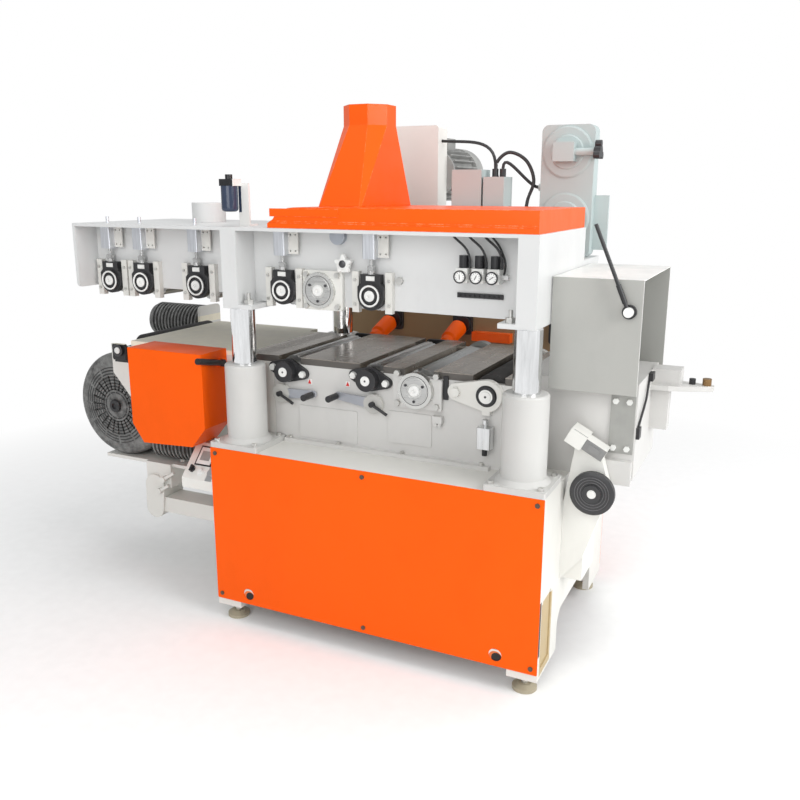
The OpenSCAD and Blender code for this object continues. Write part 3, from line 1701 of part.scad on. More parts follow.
placed() base_casting();
placed() side_panels();
placed() base_fasteners();
placed() levelling_feet();
placed() column_sleeves();
placed() lift_gear();
placed() lower_motor();
placed() bed_frame();
placed() table_plates();
placed() lower_bearings();
placed() infeed_bed();
placed() infeed_guard();
placed() infeed_motor();
placed() control_box();
placed() gear_case();
placed() outfeed_bed();
placed() outfeed_hood();
placed() outfeed_cylinder();
placed() wheel_arm();
placed() lower_cutterhead();
placed() lower_roller(low_roller_1_x);  // lower_roller_1
placed() lower_roller(low_roller_2_x);  // lower_roller_2
placed() cardan_shaft(low_roller_1_x);  // cardan_shaft_1
placed() cardan_shaft(low_roller_2_x);  // cardan_shaft_2
placed() outfeed_arm();
placed() outfeed_roller();
placed() adjust_lever(disc_1, 140, 4);  // adjust_lever_1
placed() adjust_lever(disc_2, 148, 174);  // adjust_lever_2
placed() infeed_drum();
placed() infeed_crank();
placed() selector_knob();
placed() hand_wheel();
placed() guard_lever();
placed() head_frame();
placed() guide_posts();
placed() head_fasteners();
placed() top_cover();
placed() dust_chute();
placed() upper_cutter_housings();
placed() roller_guides();
placed() air_cylinders();
placed() air_regulators();
placed() cables_and_hoses();
placed() belt_guard();
placed() drive_belts();
placed() upper_motor();
placed() drive_tower();
placed() upper_cutterhead();
placed() upper_motor_pulley();
placed() speed_knob();
for (i = [0:4]) {
  placed() block_pair(roller_xs[i]);
  placed() feed_roller(roller_xs[i]);
}
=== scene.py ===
import math

import bmesh
import bpy
from mathutils import Matrix, Vector


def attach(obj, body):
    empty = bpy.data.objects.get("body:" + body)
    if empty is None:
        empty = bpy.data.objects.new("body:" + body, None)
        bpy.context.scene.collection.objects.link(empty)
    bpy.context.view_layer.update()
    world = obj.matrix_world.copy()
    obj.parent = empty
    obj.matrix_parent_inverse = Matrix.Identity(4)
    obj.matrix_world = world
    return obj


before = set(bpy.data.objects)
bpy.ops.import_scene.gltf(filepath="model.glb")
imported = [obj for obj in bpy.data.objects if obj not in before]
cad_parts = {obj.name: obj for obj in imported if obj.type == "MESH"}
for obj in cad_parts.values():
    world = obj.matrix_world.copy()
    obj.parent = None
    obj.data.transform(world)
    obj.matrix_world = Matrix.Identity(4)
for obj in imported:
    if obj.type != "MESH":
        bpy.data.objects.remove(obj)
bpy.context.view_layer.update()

# The design frame's origin is the middle of the front panel; the part's origin lies at (MID_X, MID_Y) in it.
MID_X, MID_Y = -274.0, 668.0

# Places of the design frame in millimetres: x or z alone, or (x, z) of a middle in the XZ plane
ROLLERS = (-1198, -1037, -771, -390, -35)
ROLLER_Z = 1279
REGULATORS = (302, 356, 409)
GAUGE_Z = 1362
LOWER_ROLLERS = ((-410, 975), (-67, 975))
LOWER_CUTTER = (120, 957)
UPPER_CUTTER = (-245, 1286)
ARM_ROLLER = (376, 962)
LEVER_PIVOT = (820, 1270)
LEVER_DISCS = ((-444, 885), (-53, 886))
LIFT_HOLES = ((-495, 117), (495, 117))
HAND_WHEEL = (742, 672)
STAR_KNOB = (-140, 1383)
COWL = (-1308, 730)
DRUM = (-1233, 984)

# Foot and slope of the switch box's sloping face, and the places of its window and second knob up the slope
SLOPE_Y, SLOPE_Z = 42, 540
SLOPE_RUN, SLOPE_RISE = 108, 115
WINDOW_X, WINDOW_V = -749, 101
KNOB_X, KNOB_V = -743, 34


def at(x, y, z):
    """A place of the design frame in millimetres, as a place of the row frame in metres."""
    return Vector(((x - MID_X) / 1000, (y - MID_Y) / 1000, z / 1000))


# ---------------------------------------------------------------- materials

# Width in metres over which one colour of a zone runs into the next
ZONE_FADE = 0.0003


class Tree:
    """A material's node tree with short calls for adding nodes."""

    zones = ()

    def __init__(self, name):
        self.material = bpy.data.materials.new(name)
        self.material.use_nodes = True
        self.tree = self.material.node_tree
        self.tree.nodes.clear()
        self.coords = self.add("TexCoord").outputs["Object"]

    def add(self, kind, inputs=None, **settings):
        n = self.tree.nodes.new("ShaderNode" + kind)
        for key, value in settings.items():
            setattr(n, key, value)
        for key, value in (inputs or {}).items():
            if isinstance(value, bpy.types.NodeSocket):
                self.tree.links.new(value, n.inputs[key])
            else:
                n.inputs[key].default_value = value
        return n

    def math(self, operation, a, b=0.0):
        return self.add("Math", {0: a, 1: b}, operation=operation).outputs[0]

    def noise(self, scale, detail=4.0, rough=0.55, stretch=(1, 1, 1)):
        place = self.add("Mapping", {"Vector": self.coords, "Scale": stretch}).outputs[0]
        return self.add("TexNoise", {"Vector": place, "Scale": scale, "Detail": detail,
                                     "Roughness": rough}).outputs["Fac"]

    def ramp(self, value, low, high, out_low=0.0, out_high=1.0):
        return self.add("MapRange", {"Value": value, "From Min": low, "From Max": high,
                                     "To Min": out_low, "To Max": out_high}).outputs[0]

    def mix(self, fac, a, b):
        n = self.add("Mix", {0: fac}, data_type="RGBA")
        for index, value in ((6, a), (7, b)):
            if isinstance(value, bpy.types.NodeSocket):
                self.tree.links.new(value, n.inputs[index])
            else:
                n.inputs[index].default_value = (*value, 1)
        return n.outputs[2]

    def band(self, value, low, high, soft):
        """One inside low..high, with edges that fade over soft."""
        up = self.ramp(value, low - soft, low)
        down = self.ramp(value, high, high + soft, 1.0, 0.0)
        return self.math("MULTIPLY", up, down)

    def axes(self):
        n = self.add("SeparateXYZ", {"Vector": self.coords})
        return n.outputs[0], n.outputs[1], n.outputs[2]

    def blend(self, fac, a, b):
        return self.add("Mix", {0: fac, 2: a, 3: b}, data_type="FLOAT").outputs[0]

    def mask(self, box=None, tube=None):
        """One inside a box, or between two radii of a tube along Y or Z, both in design millimetres."""
        places = self.axes()
        shift = (MID_X, MID_Y, 0.0)
        out = None
        for value, span, offset in zip(places, box or (), shift):
            if span is not None:
                part = self.band(value, (span[0] - offset) / 1000, (span[1] - offset) / 1000, ZONE_FADE)
                out = part if out is None else self.math("MULTIPLY", out, part)
        if tube:
            along, middle, radii = tube
            sides = (0, 2) if along == "Y" else (0, 1)
            squares = []
            for k, m in zip(sides, middle):
                gap = self.math("SUBTRACT", places[k], (m - shift[k]) / 1000)
                squares.append(self.math("MULTIPLY", gap, gap))
            far = self.math("POWER", self.math("ADD", *squares), 0.5)
            part = self.band(far, radii[0] / 1000, radii[1] / 1000, ZONE_FADE)
            out = part if out is None else self.math("MULTIPLY", out, part)
        return out

    def finish(self, color, rough, metal=0.0, bump=None, strength=0.15, distance=0.001, normal=None, **sockets):
        for place, look, look_rough, look_metal in self.zones:
            inside = self.mask(**place)
            cloud = self.noise(23.0, 4.0)
            color = self.mix(inside, color, self.mix(cloud, shade(look, 0.82), shade(look, 1.12)))
            rough = self.blend(inside, rough, self.ramp(cloud, 0.3, 0.7, look_rough - 0.05, look_rough + 0.06))
            metal = self.blend(inside, metal, look_metal)
        shader = self.add("BsdfPrincipled", {"Base Color": color, "Roughness": rough, "Metallic": metal})
        for key, value in sockets.items():
            shader.inputs[key.replace("_", " ")].default_value = value
        if bump is not None:
            given = {"Height": bump, "Strength": strength, "Distance": distance}
            if normal is not None:
                given["Normal"] = normal
            normal = self.add("Bump", given).outputs[0]
        if normal is not None:
            self.tree.links.new(normal, shader.inputs["Normal"])
        out = self.add("OutputMaterial", {"Surface": shader.outputs[0]})
        self.tree.nodes.active = out
        return self.material

    def edges(self, radius):
        """The rounded normal, and one along an edge of the shape that fades to zero on its faces."""
        soft = self.add("Bevel", {"Radius": radius}, samples=4).outputs[0]
        flat = self.add("NewGeometry").outputs["Normal"]
        near = self.add("VectorMath", {0: soft, 1: flat}, operation="DOT_PRODUCT").outputs["Value"]
        return soft, self.ramp(near, 0.80, 0.985, 1.0, 0.0)


def shade(color, factor):
    return tuple(min(c * factor, 1.0) for c in color)


def paint(name, color, rough=0.34, peel=0.12, wear=None, wear_amount=0.5, grime=0.10, coat=0.0, edge=0.0014,
          specular=0.5):
    """Sprayed enamel: orange peel, cloudy tone, handling marks, and chips along the edges."""
    t = Tree(name)
    cloud = t.noise(1.7, 5.0)
    stain = t.noise(6.5, 6.0, 0.62, (1.0, 1.0, 0.55))
    tone = t.mix(t.ramp(cloud, 0.35, 0.68), shade(color, 1 - grime * 0.45), shade(color, 1.02))
    tone = t.mix(t.ramp(stain, 0.52, 0.78, 0.0, grime * 1.6), tone, shade(color, 0.66))
    soft, rim = t.edges(edge)
    chips = t.math("MULTIPLY", rim, t.ramp(t.noise(42.0, 5.0, 0.7), 0.46, 0.60))
    tone = t.mix(t.math("MULTIPLY", chips, wear_amount), tone, wear or shade(color, 1.25))
    gloss = t.ramp(stain, 0.3, 0.75, rough - 0.05, rough + 0.12)
    peel_bump = t.math("ADD", t.noise(420.0, 2.0), t.math("MULTIPLY", t.noise(60.0, 2.0), 0.6))
    return t.finish(tone, gloss, bump=peel_bump, strength=peel, distance=0.0004, normal=soft,
                    Coat_Weight=coat, Coat_Roughness=0.18, Specular_IOR_Level=specular)


def metal(name, color, rough=0.25, along=(1, 1, 1), brush=90.0, strength=0.08, spread=0.10, dirt=0.10):
    """Bare metal with tool marks stretched along one direction, and darker handled patches."""
    t = Tree(name)
    lines = t.noise(brush, 4.0, 0.6, along)
    patch = t.noise(5.0, 5.0, 0.6)
    tone = t.mix(t.ramp(lines, 0.3, 0.7), shade(color, 0.86), shade(color, 1.08))
    tone = t.mix(t.ramp(patch, 0.5, 0.8, 0.0, dirt * 3), tone, shade(color, 0.55))
    soft, rim = t.edges(0.0008)
    tone = t.mix(t.math("MULTIPLY", rim, 0.35), tone, shade(color, 1.25))
    gloss = t.ramp(lines, 0.25, 0.75, rough - spread / 2, rough + spread)
    return t.finish(tone, gloss, metal=1.0, bump=lines, strength=strength, distance=0.0005, normal=soft)


def cast(name, color, rough=0.55, strength=0.35, wear=(0.30, 0.29, 0.28)):
    """Painted or bare casting with sand grain and rubbed edges."""
    t = Tree(name)
    sand = t.noise(150.0, 5.0, 0.65)
    cloud = t.noise(9.0, 4.0)
    tone = t.mix(t.ramp(cloud, 0.3, 0.7), shade(color, 0.75), shade(color, 1.25))
    soft, rim = t.edges(0.0018)
    tone = t.mix(t.math("MULTIPLY", rim, t.ramp(t.noise(70.0, 4.0), 0.42, 0.6, 0.0, 0.55)), tone, wear)
    gloss = t.ramp(sand, 0.3, 0.7, rough - 0.08, rough + 0.1)
    return t.finish(tone, gloss, bump=sand, strength=strength, distance=0.0006, normal=soft)


def plastic(name, color, rough=0.45, grain=380.0, strength=0.12):
    """Moulded plastic or rubber: fine grain, and paler where it is handled."""
    t = Tree(name)
    fine = t.noise(grain, 3.0)
    wear = t.noise(14.0, 4.0)
    tone = t.mix(t.ramp(wear, 0.35, 0.75), shade(color, 0.9), tuple(min(c * 1.15 + 0.006, 1) for c in color))
    soft, rim = t.edges(0.001)
    tone = t.mix(t.math("MULTIPLY", rim, 0.30), tone, tuple(min(c * 1.4 + 0.05, 1) for c in color))
    return t.finish(tone, t.ramp(wear, 0.3, 0.7, rough - 0.06, rough + 0.1), bump=fine, strength=strength,
                    distance=0.0003, normal=soft)


def plated(name):
    """Zinc plate of bolts and feet."""
    return metal(name, (0.66, 0.655, 0.63), rough=0.34, brush=50.0, dirt=0.15)


def rolled(name):
    """Steel of the rollers, turned across the feed."""
    return metal(name, (0.55, 0.55, 0.54), rough=0.30, along=(1, 0.04, 1), brush=120.0)


def drawn_alloy(name, color=(0.74, 0.75, 0.755), rough=0.30):
    """Clear anodised tube, drawn upright."""
    return metal(name, color, rough=rough, along=(1, 1, 0.05), brush=140.0, strength=0.04)


def black_iron(name):
    return cast(name, BLACK_IRON, rough=0.42)


def soft_rubber(name):
    return plastic(name, (0.030, 0.028, 0.027), rough=0.62, grain=240.0, strength=0.3)


def white_enamel(name):
    return paint(name, (0.78, 0.775, 0.735), rough=0.32)


ORANGE = (0.94, 0.108, 0.0)
GREY = (0.63, 0.62, 0.60)
CREAM = (0.72, 0.71, 0.67)
CREAM_WEAR = (0.90, 0.90, 0.87)
BLACK = (0.016, 0.016, 0.018)
BLACK_IRON = (0.020, 0.020, 0.022)
SHADOW = (0.012, 0.012, 0.012)
WHITE = (0.80, 0.80, 0.775)
STEEL = (0.58, 0.58, 0.575)
BROWN = (0.30, 0.18, 0.08)

orange = paint("orange_powder", ORANGE, rough=0.36, peel=0.16, wear=(1.0, 0.30, 0.08), wear_amount=0.6,
               specular=0.14)
# Cover and chute: pale chips along the edges, partly wear and partly a painted highlight along their ridges and
# rims
gloss_orange_chips_and_highlight = paint("orange_gloss_chips_and_highlight", ORANGE, peel=0.10, grime=0.08, wear=(1.0, 0.46, 0.22), wear_amount=0.9,
                     specular=0.14, coat=0.28, edge=0.004)
head_grey = paint("head_enamel", (0.67, 0.675, 0.67), rough=0.38, grime=0.12, wear=(0.85, 0.85, 0.84))
pale_guard = paint("guard_enamel", (0.80, 0.78, 0.74), rough=0.40, wear=(0.92, 0.91, 0.89))
tower_grey = paint("tower_enamel", (0.455, 0.525, 0.52), rough=0.46, wear=(0.74, 0.74, 0.73), specular=0.3)
sleeve_paint = paint("sleeve_enamel", (0.57, 0.565, 0.545), rough=0.36, grime=0.12, wear=(0.85, 0.85, 0.83))
cream = paint("cream_enamel", CREAM, wear=CREAM_WEAR)
chrome = metal("hard_chrome", (0.80, 0.81, 0.82), rough=0.10, along=(1, 1, 0.12), brush=60.0, strength=0.02,
               spread=0.05, dirt=0.03)
steel = metal("turned_steel", (0.60, 0.60, 0.59), rough=0.28, along=(0.06, 1, 1), brush=160.0)
roller_steel = rolled("roller_steel")
dark_cast = cast("dark_iron", (0.060, 0.060, 0.062), rough=0.5)
motor_grey = cast("motor_casting", (0.30, 0.30, 0.29), rough=0.5, strength=0.25, wear=(0.55, 0.55, 0.54))
black = plastic("black_plastic", BLACK, rough=0.36)
rubber = soft_rubber("rubber_cover")
hose = plastic("hose_jacket", (0.018, 0.018, 0.020), rough=0.42)
seal = plastic("seal_white", (0.80, 0.80, 0.78), rough=0.35)
dark_steel = metal("socket_steel", (0.10, 0.10, 0.105), rough=0.35, brush=60.0)
worn_iron = metal("worn_iron", (0.22, 0.22, 0.225), rough=0.4, brush=60.0)
red = plastic("pointer_red", (0.60, 0.02, 0.015), rough=0.35)
dial_white = plastic("dial_white", (0.84, 0.84, 0.82), rough=0.25)


def table_iron(name):
    """Ground table: brown-grey iron with planing lines along the feed, rubbed patches and old resin."""
    t = Tree(name)
    lines = t.noise(210.0, 3.0, 0.6, (0.03, 1.0, 1.0))
    cross = t.noise(60.0, 3.0, 0.6, (1.0, 0.06, 1.0))
    patch = t.noise(7.0, 6.0, 0.62)
    tone = t.mix(t.ramp(patch, 0.32, 0.70), (0.29, 0.24, 0.185), (0.60, 0.55, 0.49))
    tone = t.mix(t.ramp(cross, 0.45, 0.75, 0.0, 0.45), tone, (0.20, 0.175, 0.15))
    tone = t.mix(t.ramp(lines, 0.5, 0.8, 0.0, 0.4), tone, (0.66, 0.62, 0.57))
    soft, rim = t.edges(0.0012)
    tone = t.mix(t.math("MULTIPLY", rim, 0.5), tone, (0.66, 0.65, 0.62))
    gloss = t.ramp(patch, 0.3, 0.75, 0.16, 0.34)
    return t.finish(tone, gloss, metal=0.85, bump=lines, strength=0.05, distance=0.0004, normal=soft)


def cowl_iron(name):
    """Fan cowl: dark mottled casting with rings of slots round the hub, drawn in the plane of its face, their
    openings near-black as painted shade.
    """
    t = Tree(name)
    x, _, z = t.axes()
    centre = at(COWL[0], 0, COWL[1])
    pitch, sectors = 0.0135, 6.0
    dx = t.math("SUBTRACT", x, centre.x)
    dz = t.math("SUBTRACT", z, centre.z)
    radius = t.math("POWER", t.math("ADD", t.math("MULTIPLY", dx, dx), t.math("MULTIPLY", dz, dz)), 0.5)
    angle = t.math("ARCTAN2", dz, dx)
    rings = t.math("SINE", t.math("MULTIPLY", radius, 2 * math.pi / pitch))
    ribs = t.math("ABSOLUTE", t.math("SINE", t.math("MULTIPLY", angle, sectors)))
    open_ring = t.math("MULTIPLY", t.ramp(rings, 0.0, 0.35), t.ramp(ribs, 0.10, 0.22))
    zone = t.band(radius, 0.050, 0.165, 0.004)
    holes = t.math("MULTIPLY", open_ring, zone)
    mottle = t.noise(34.0, 6.0, 0.7)
    tone = t.mix(t.ramp(mottle, 0.36, 0.62), (0.035, 0.035, 0.034), (0.20, 0.20, 0.195))
    tone = t.mix(t.ramp(t.noise(5.0, 4.0), 0.42, 0.66, 0.0, 0.5), tone, (0.24, 0.24, 0.23))
    # Slots painted near-black: painted shade seen through the openings
    tone = t.mix(t.math("MULTIPLY", holes, 0.9), tone, (0.006, 0.006, 0.006))
    soft, rim = t.edges(0.002)
    height = t.math("SUBTRACT", t.math("MULTIPLY", mottle, 0.25), holes)
    return t.finish(tone, t.ramp(mottle, 0.3, 0.7, 0.42, 0.62), bump=height, strength=0.4, distance=0.002,
                    normal=soft)


finishes = {
    "side_panels": orange, "column_sleeves": sleeve_paint, "lift_gear": dark_cast, "lower_motor": motor_grey,
    "infeed_guard": orange, "infeed_motor": cowl_iron("fan_cowl"), "cardan_shaft_1": orange,
    "cardan_shaft_2": orange, "infeed_drum": rubber, "infeed_crank": black, "selector_knob": black,
    "lower_cutterhead": roller_steel, "upper_cutterhead": roller_steel, "head_frame": head_grey,
    "guide_posts": chrome, "top_cover": gloss_orange_chips_and_highlight, "dust_chute": gloss_orange_chips_and_highlight, "roller_guides": cream,
    "cables_and_hoses": hose, "belt_guard": pale_guard, "drive_belts": rubber, "upper_motor": motor_grey,
    "upper_motor_pulley": dark_cast, "drive_tower": tower_grey, "speed_knob": black,
}


# ---------------------------------------------------------------- finishes with zones

def box(x=None, y=None, z=None):
    """The mask of a box between spans in millimetres; None leaves a direction open."""
    return {"box": (x, y, z)}


def tube(middle, outer, y=None, inner=-1.0, z=None, along="Y"):
    """The mask of what lies between two radii about an axis along Y or Z."""
    return {"box": (None, y, z), "tube": (along, middle, (inner, outer))}


def zoned(node, maker, name, zones, *args, **kw):
    """Gives one node a finish of its own, with places of other colours in it."""
    Tree.zones = zones
    finishes[node] = maker(name, *args, **kw)
    Tree.zones = ()


# Base: lift holes drawn as colour, in front a painted lit rim round a painted shadow set to one side, behind
# painted shade only; the tan pocket in the outfeed end, with painted shade in its gap
hole_r, front_skin, rear_skin, end_face = 23.6, (2.5, 8), (930, 937.5), (636, 642)
zoned("base_casting", paint, "base_paint_coat",
      [(tube(p, hole_r, front_skin), (0.72, 0.17, 0.04), 0.4, 0.0) for p in LIFT_HOLES]
      + [(tube((p[0] + 5, p[1]), 18.5, front_skin), SHADOW, 0.7, 0.0) for p in LIFT_HOLES]
      + [(tube(p, hole_r, rear_skin), SHADOW, 0.7, 0.0) for p in LIFT_HOLES]
      + [(box(end_face, (24, 150), (70, 330)), (0.50, 0.38, 0.20), 0.45, 0.0),
         (box(end_face, (3, 20), (150, 345)), (0.05, 0.045, 0.04), 0.6, 0.0)],
      CREAM, wear=CREAM_WEAR)
# Screws of the front and rear panels are darker than the bolts of the bed
zoned("base_fasteners", plated, "base_screws",
      [(box(y=span), (0.12, 0.09, 0.07), 0.4, 0.6) for span in ((-20, -0.4), (940.4, 960))])
zoned("levelling_feet", plated, "foot_pads", [(box(z=(-1, 22.2)), (0.42, 0.37, 0.27), 0.5, 0.2)])

# Bed: the plates' sides stay rough and dark under the ground top; a black strip painted as the shade of a gap
# between plates, and bright cutterhead cap
zoned("table_plates", table_iron, "ground_table",
      [(box(None, (204, 205.6), (980, 1023.4)), (0.13, 0.12, 0.11), 0.5, 0.5)])
zoned("bed_frame", paint, "bed_plates", [
    (box((213, 232), (190, 204.9), (929, 1013)), BLACK, 0.4, 0.0),
    (tube(LOWER_CUTTER, 64.3, (150, 186.9)), (0.66, 0.66, 0.64), 0.28, 1.0)], GREY, rough=0.38, grime=0.12)
zoned("lower_bearings", black_iron, "flanged_bearings",
      [(tube(p, 16.5, (150, 194.8)), WHITE, 0.36, 0.0) for p in LOWER_ROLLERS]
      + [(tube((p[0] + side * 64.4, p[1] - side * 9.0), 13.5, (175, 190.8)), WHITE, 0.36, 0.0)
         for p in LOWER_ROLLERS for side in (-1, 1)])
for i, p in enumerate(LOWER_ROLLERS, 1):
    zoned(f"lower_roller_{i}", rolled, f"low_roller_{i}",
          [(box(y=(140, 176)), WHITE, 0.36, 0.0), (tube(p, 3.6, (140, 176)), BLACK, 0.4, 0.0)])
for i, p in enumerate(LEVER_DISCS, 1):
    zoned(f"adjust_lever_{i}", paint, f"lever_{i}",
          [(tube(p, 170, inner=38), (0.52, 0.54, 0.59), 0.32, 0.5), (box(y=(0, 186.4)), BLACK, 0.34, 0.0)],
          CREAM, wear=CREAM_WEAR)
zoned("gear_case", paint, "gear_case_plate", [
    (box((-13, 166), (1069, 1109.7), (977, 1019)), ORANGE, 0.36, 0.0),
    (box(z=(400, 849.7)), GREY, 0.4, 0.0)], (0.30, 0.205, 0.105), rough=0.42, grime=0.25, wear=(0.50, 0.38, 0.22))

# Infeed: dark bearing plate, table top painted paler and warmer as painted light against the head's shadow and the
# orange reflections on it, dark window and steel key of the switch box
zoned("infeed_bed", paint, "infeed_castings", [
    (box((-1275, -1200), (180, 205.2), (930, 1020)), BLACK, 0.4, 0.0),
    (box(z=(1008, 1040)), (0.93, 0.86, 0.70), 0.34, 0.0)], CREAM, wear=CREAM_WEAR)
zoned("control_box", white_enamel, "switch_box", [
    (box((-728.5, -659.5), (91, 137), (592, 644)), BLACK, 0.2, 0.0),
    (box((-711, -681), (40, 90), (540, 590)), STEEL, 0.3, 1.0)])

# Outfeed: painted highlight in white along the hood's top and right end, black rim of the hood, plate with white
# bolts, black and brass rods of the side arm
zoned("outfeed_hood", paint, "hood_coat", [
    (box(z=(1366.4, 1370)), WHITE, 0.36, 0.0), (box(x=(857.2, 862)), WHITE, 0.36, 0.0),
    (tube(LEVER_PIVOT, 23, (190, 211.6), 15.5), BLACK, 0.4, 0.0)],
    (0.40, 0.40, 0.375), rough=0.40, grime=0.12, wear=(0.70, 0.69, 0.66))
zoned("guard_lever", plastic, "lever_plastic", [(tube(LEVER_PIVOT, 15.4), WHITE, 0.35, 0.0)], BLACK, rough=0.36)
zoned("outfeed_bed", paint, "outfeed_castings", [
    (box((765, 845), (293.5, 299.8), (789, 986)), (0.34, 0.34, 0.32), 0.4, 0.0),
    (box((765, 845), (280, 293.5), (789, 986)), WHITE, 0.36, 0.0),
    (tube((980, 610), 11.5, z=(976.4, 998), along="Z"), BLACK, 0.4, 0.0),
    (tube((1028, 610), 15.5, z=(976.4, 1001), along="Z"), BROWN, 0.3, 0.8)], GREY, rough=0.38, grime=0.12)
zoned("outfeed_arm", paint, "swing_arm", [
    (tube(ARM_ROLLER, 37.0, (165, 180.7), 24.0), BLACK, 0.34, 0.0),
    (tube(ARM_ROLLER, 24.0, (165, 180.7)), WHITE, 0.34, 0.0)], CREAM)
zoned("outfeed_roller", soft_rubber, "arm_roller",
      [(box(y=(140, 182)), WHITE, 0.36, 0.0), (tube(ARM_ROLLER, 4.0, (140, 182)), BLACK, 0.4, 0.0)])
zoned("outfeed_cylinder", drawn_alloy, "small_cylinder", [(box(z=(700, 781)), BLACK, 0.4, 0.0)])
zoned("wheel_arm", white_enamel, "wheel_bracket",
      [(box(None, (203, 208.3), (780, 880)), (0.27, 0.27, 0.265), 0.4, 0.3)])
zoned("hand_wheel", cast, "wheel", [(tube(HAND_WHEEL, 14.5, (150, 202)), WHITE, 0.34, 0.0)],
      (0.030, 0.030, 0.032), rough=0.45)

# Head: steel rods and white marks of the bearing blocks, cream brackets of the cylinders, black caps and strip
for i, x in enumerate(ROLLERS, 1):
    zoned(f"roller_block_{i}", black_iron, f"block_{i}", [
        (box(z=(1352.3, 1500)), STEEL, 0.24, 1.0),
        (box((x - 16.3, x + 16.3), (136, 139.1), (1330, 1346)), WHITE, 0.4, 0.0)])
    finishes[f"feed_roller_{i}"] = roller_steel
zoned("air_regulators", paint, "regulators", [
    (box((280, 432), (100, 173), (1388.4, 1429)), BLACK, 0.30, 0.0),
    (box((266, 455), (135, 151), (1355.5, 1370.5)), STEEL, 0.3, 1.0),
    (box((270, 430), (160, 173), (1288, 1306)), BLACK, 0.4, 0.0),
    (box((-640, -570), (100, 180), (1550, 1643)), (0.035, 0.05, 0.09), 0.10, 0.0),
    (box((-640, -570), (100, 180), (1643, 1700)), BLACK, 0.3, 0.0),
    (box((-960, -840), (340, 460), (1501, 1590)), (0.60, 0.60, 0.585), 0.40, 0.0)],
    WHITE, rough=0.3, wear=(0.93, 0.93, 0.91))
zoned("air_cylinders", drawn_alloy, "cylinder_bodies",
      [(box((x + 23.4, x + 64), None, (1368, 1491)), CREAM, 0.36, 0.0) for x in ROLLERS], (0.72, 0.74, 0.78), 0.34)
zoned("head_fasteners", plated, "head_bolts", [
    (box((-168, -112), (130, 173), (1355, 1411)), WHITE, 0.4, 0.0),
    (box((-200, -140), (150, 173), (1440, 1490)), (0.42, 0.45, 0.50), 0.35, 0.4)])
zoned("upper_cutter_housings", white_enamel, "cutter_plates",
      [(tube(UPPER_CUTTER, 64.0, (100, 155.9)), (0.70, 0.70, 0.68), 0.26, 1.0)])

for name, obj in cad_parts.items():
    for s in obj.material_slots:
        s.material = finishes[name]


# ---------------------------------------------------------------- mesh helpers

def put(name, bm, material, body, smooth=35.0, bevel=0.0):
    """Makes an object from a bmesh in the row frame, shades it, and lets it ride on a body. The bevel is in mm."""
    bmesh.ops.recalc_face_normals(bm, faces=bm.faces)
    mesh = bpy.data.meshes.new(name)
    bm.to_mesh(mesh)
    bm.free()
    obj = bpy.data.objects.new(name, mesh)
    bpy.context.scene.collection.objects.link(obj)
    mesh.materials.append(material)
    for p in mesh.polygons:
        p.use_smooth = True
    mesh.set_sharp_from_angle(angle=math.radians(smooth))
    if bevel:
        m = obj.modifiers.new("edge", "BEVEL")
        m.width = bevel / 1000
        m.segments = 2
        m.limit_method = "ANGLE"
        m.angle_limit = math.radians(40)
        m.harden_normals = True
    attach(obj, body)


def add_box(bm, low, high, turn=None):
    """A box between two places in millimetres, turned by a matrix about its middle."""
    a, b = at(*low), at(*high)
    middle, size = (a + b) / 2, b - a
    for v in bmesh.ops.create_cube(bm, size=1.0)["verts"]:
        p = Vector((v.co.x * size.x, v.co.y * size.y, v.co.z * size.z))
        v.co = middle + (turn @ p if turn is not None else p)


def add_lathe(bm, centre, axis, profile, steps=40):
    """Turns a profile of (radius, height) in millimetres about an axis through centre."""
    axis = Vector(axis).normalized()
    u = axis.orthogonal().normalized()
    w = axis.cross(u)
    origin = at(*centre)
    rings = []
    for r, h in profile:
        if r == 0:
            rings.append([bm.verts.new(origin + axis * h / 1000)])
            continue
        rings.append([bm.verts.new(origin + axis * h / 1000
                                   + (u * math.cos(a) + w * math.sin(a)) * r / 1000)
                      for a in (2 * math.pi * k / steps for k in range(steps))])
    for a, b in zip(rings, rings[1:]):
        for k in range(steps):
            n = (k + 1) % steps
            if len(a) == 1 and len(b) == 1:
                continue
            if len(a) == 1:
                bm.faces.new((a[0], b[n], b[k]))
            elif len(b) == 1:
                bm.faces.new((a[k], a[n], b[0]))
            else:
                bm.faces.new((a[k], a[n], b[n], b[k]))


FRONT = (0, -1, 0)


def disc(r, h, lip=1.0):
    """Profile of a flat button of radius r and height h with a rounded rim."""
    return [(0, h), (r - lip, h), (r - lip * 0.3, h - lip * 0.3), (r, h - lip), (r, 0), (0, 0)]


def ring(inner, outer, h, lip=0.8):
    """Profile of a flat ring with rounded rims."""
    return [(inner, 0), (inner, h - lip), (inner + lip, h), (outer - lip, h), (outer, h - lip), (outer, 0),
            (inner, 0)]


def socket_screw(r, h):
    """Profile of a cap screw: a head with a socket in it."""
    return [(0, h * 0.45), (r * 0.5, h * 0.45), (r * 0.55, h), (r * 0.9, h), (r, h * 0.9), (r, 0), (0, 0)]


def skin(bm, loops):
    """Joins closed loops of equal length by quads and closes both ends."""
    for a, b in zip(loops, loops[1:]):
        for k in range(len(a)):
            n = (k + 1) % len(a)
            bm.faces.new((a[k], a[n], b[n], b[k]))
    bm.faces.new(loops[0])
    bm.faces.new(list(reversed(loops[-1])))


def star(bm, centre, count, r, swing, y0, y1, steps=60):
    """A lobed knob: its outline waves between two radii, drawn in as it nears the front."""
    loops = []
    for y, k in ((y0, 1.0), (y1 + 3, 1.0), (y1 + 0.8, 0.95), (y1, 0.86)):
        loop = []
        for s in range(steps):
            a = 2 * math.pi * s / steps
            reach = (r + swing * math.cos(count * a)) * k
            loop.append(bm.verts.new(at(centre[0] + reach * math.sin(a), y, centre[1] + reach * math.cos(a))))
        loops.append(loop)
    skin(bm, loops)


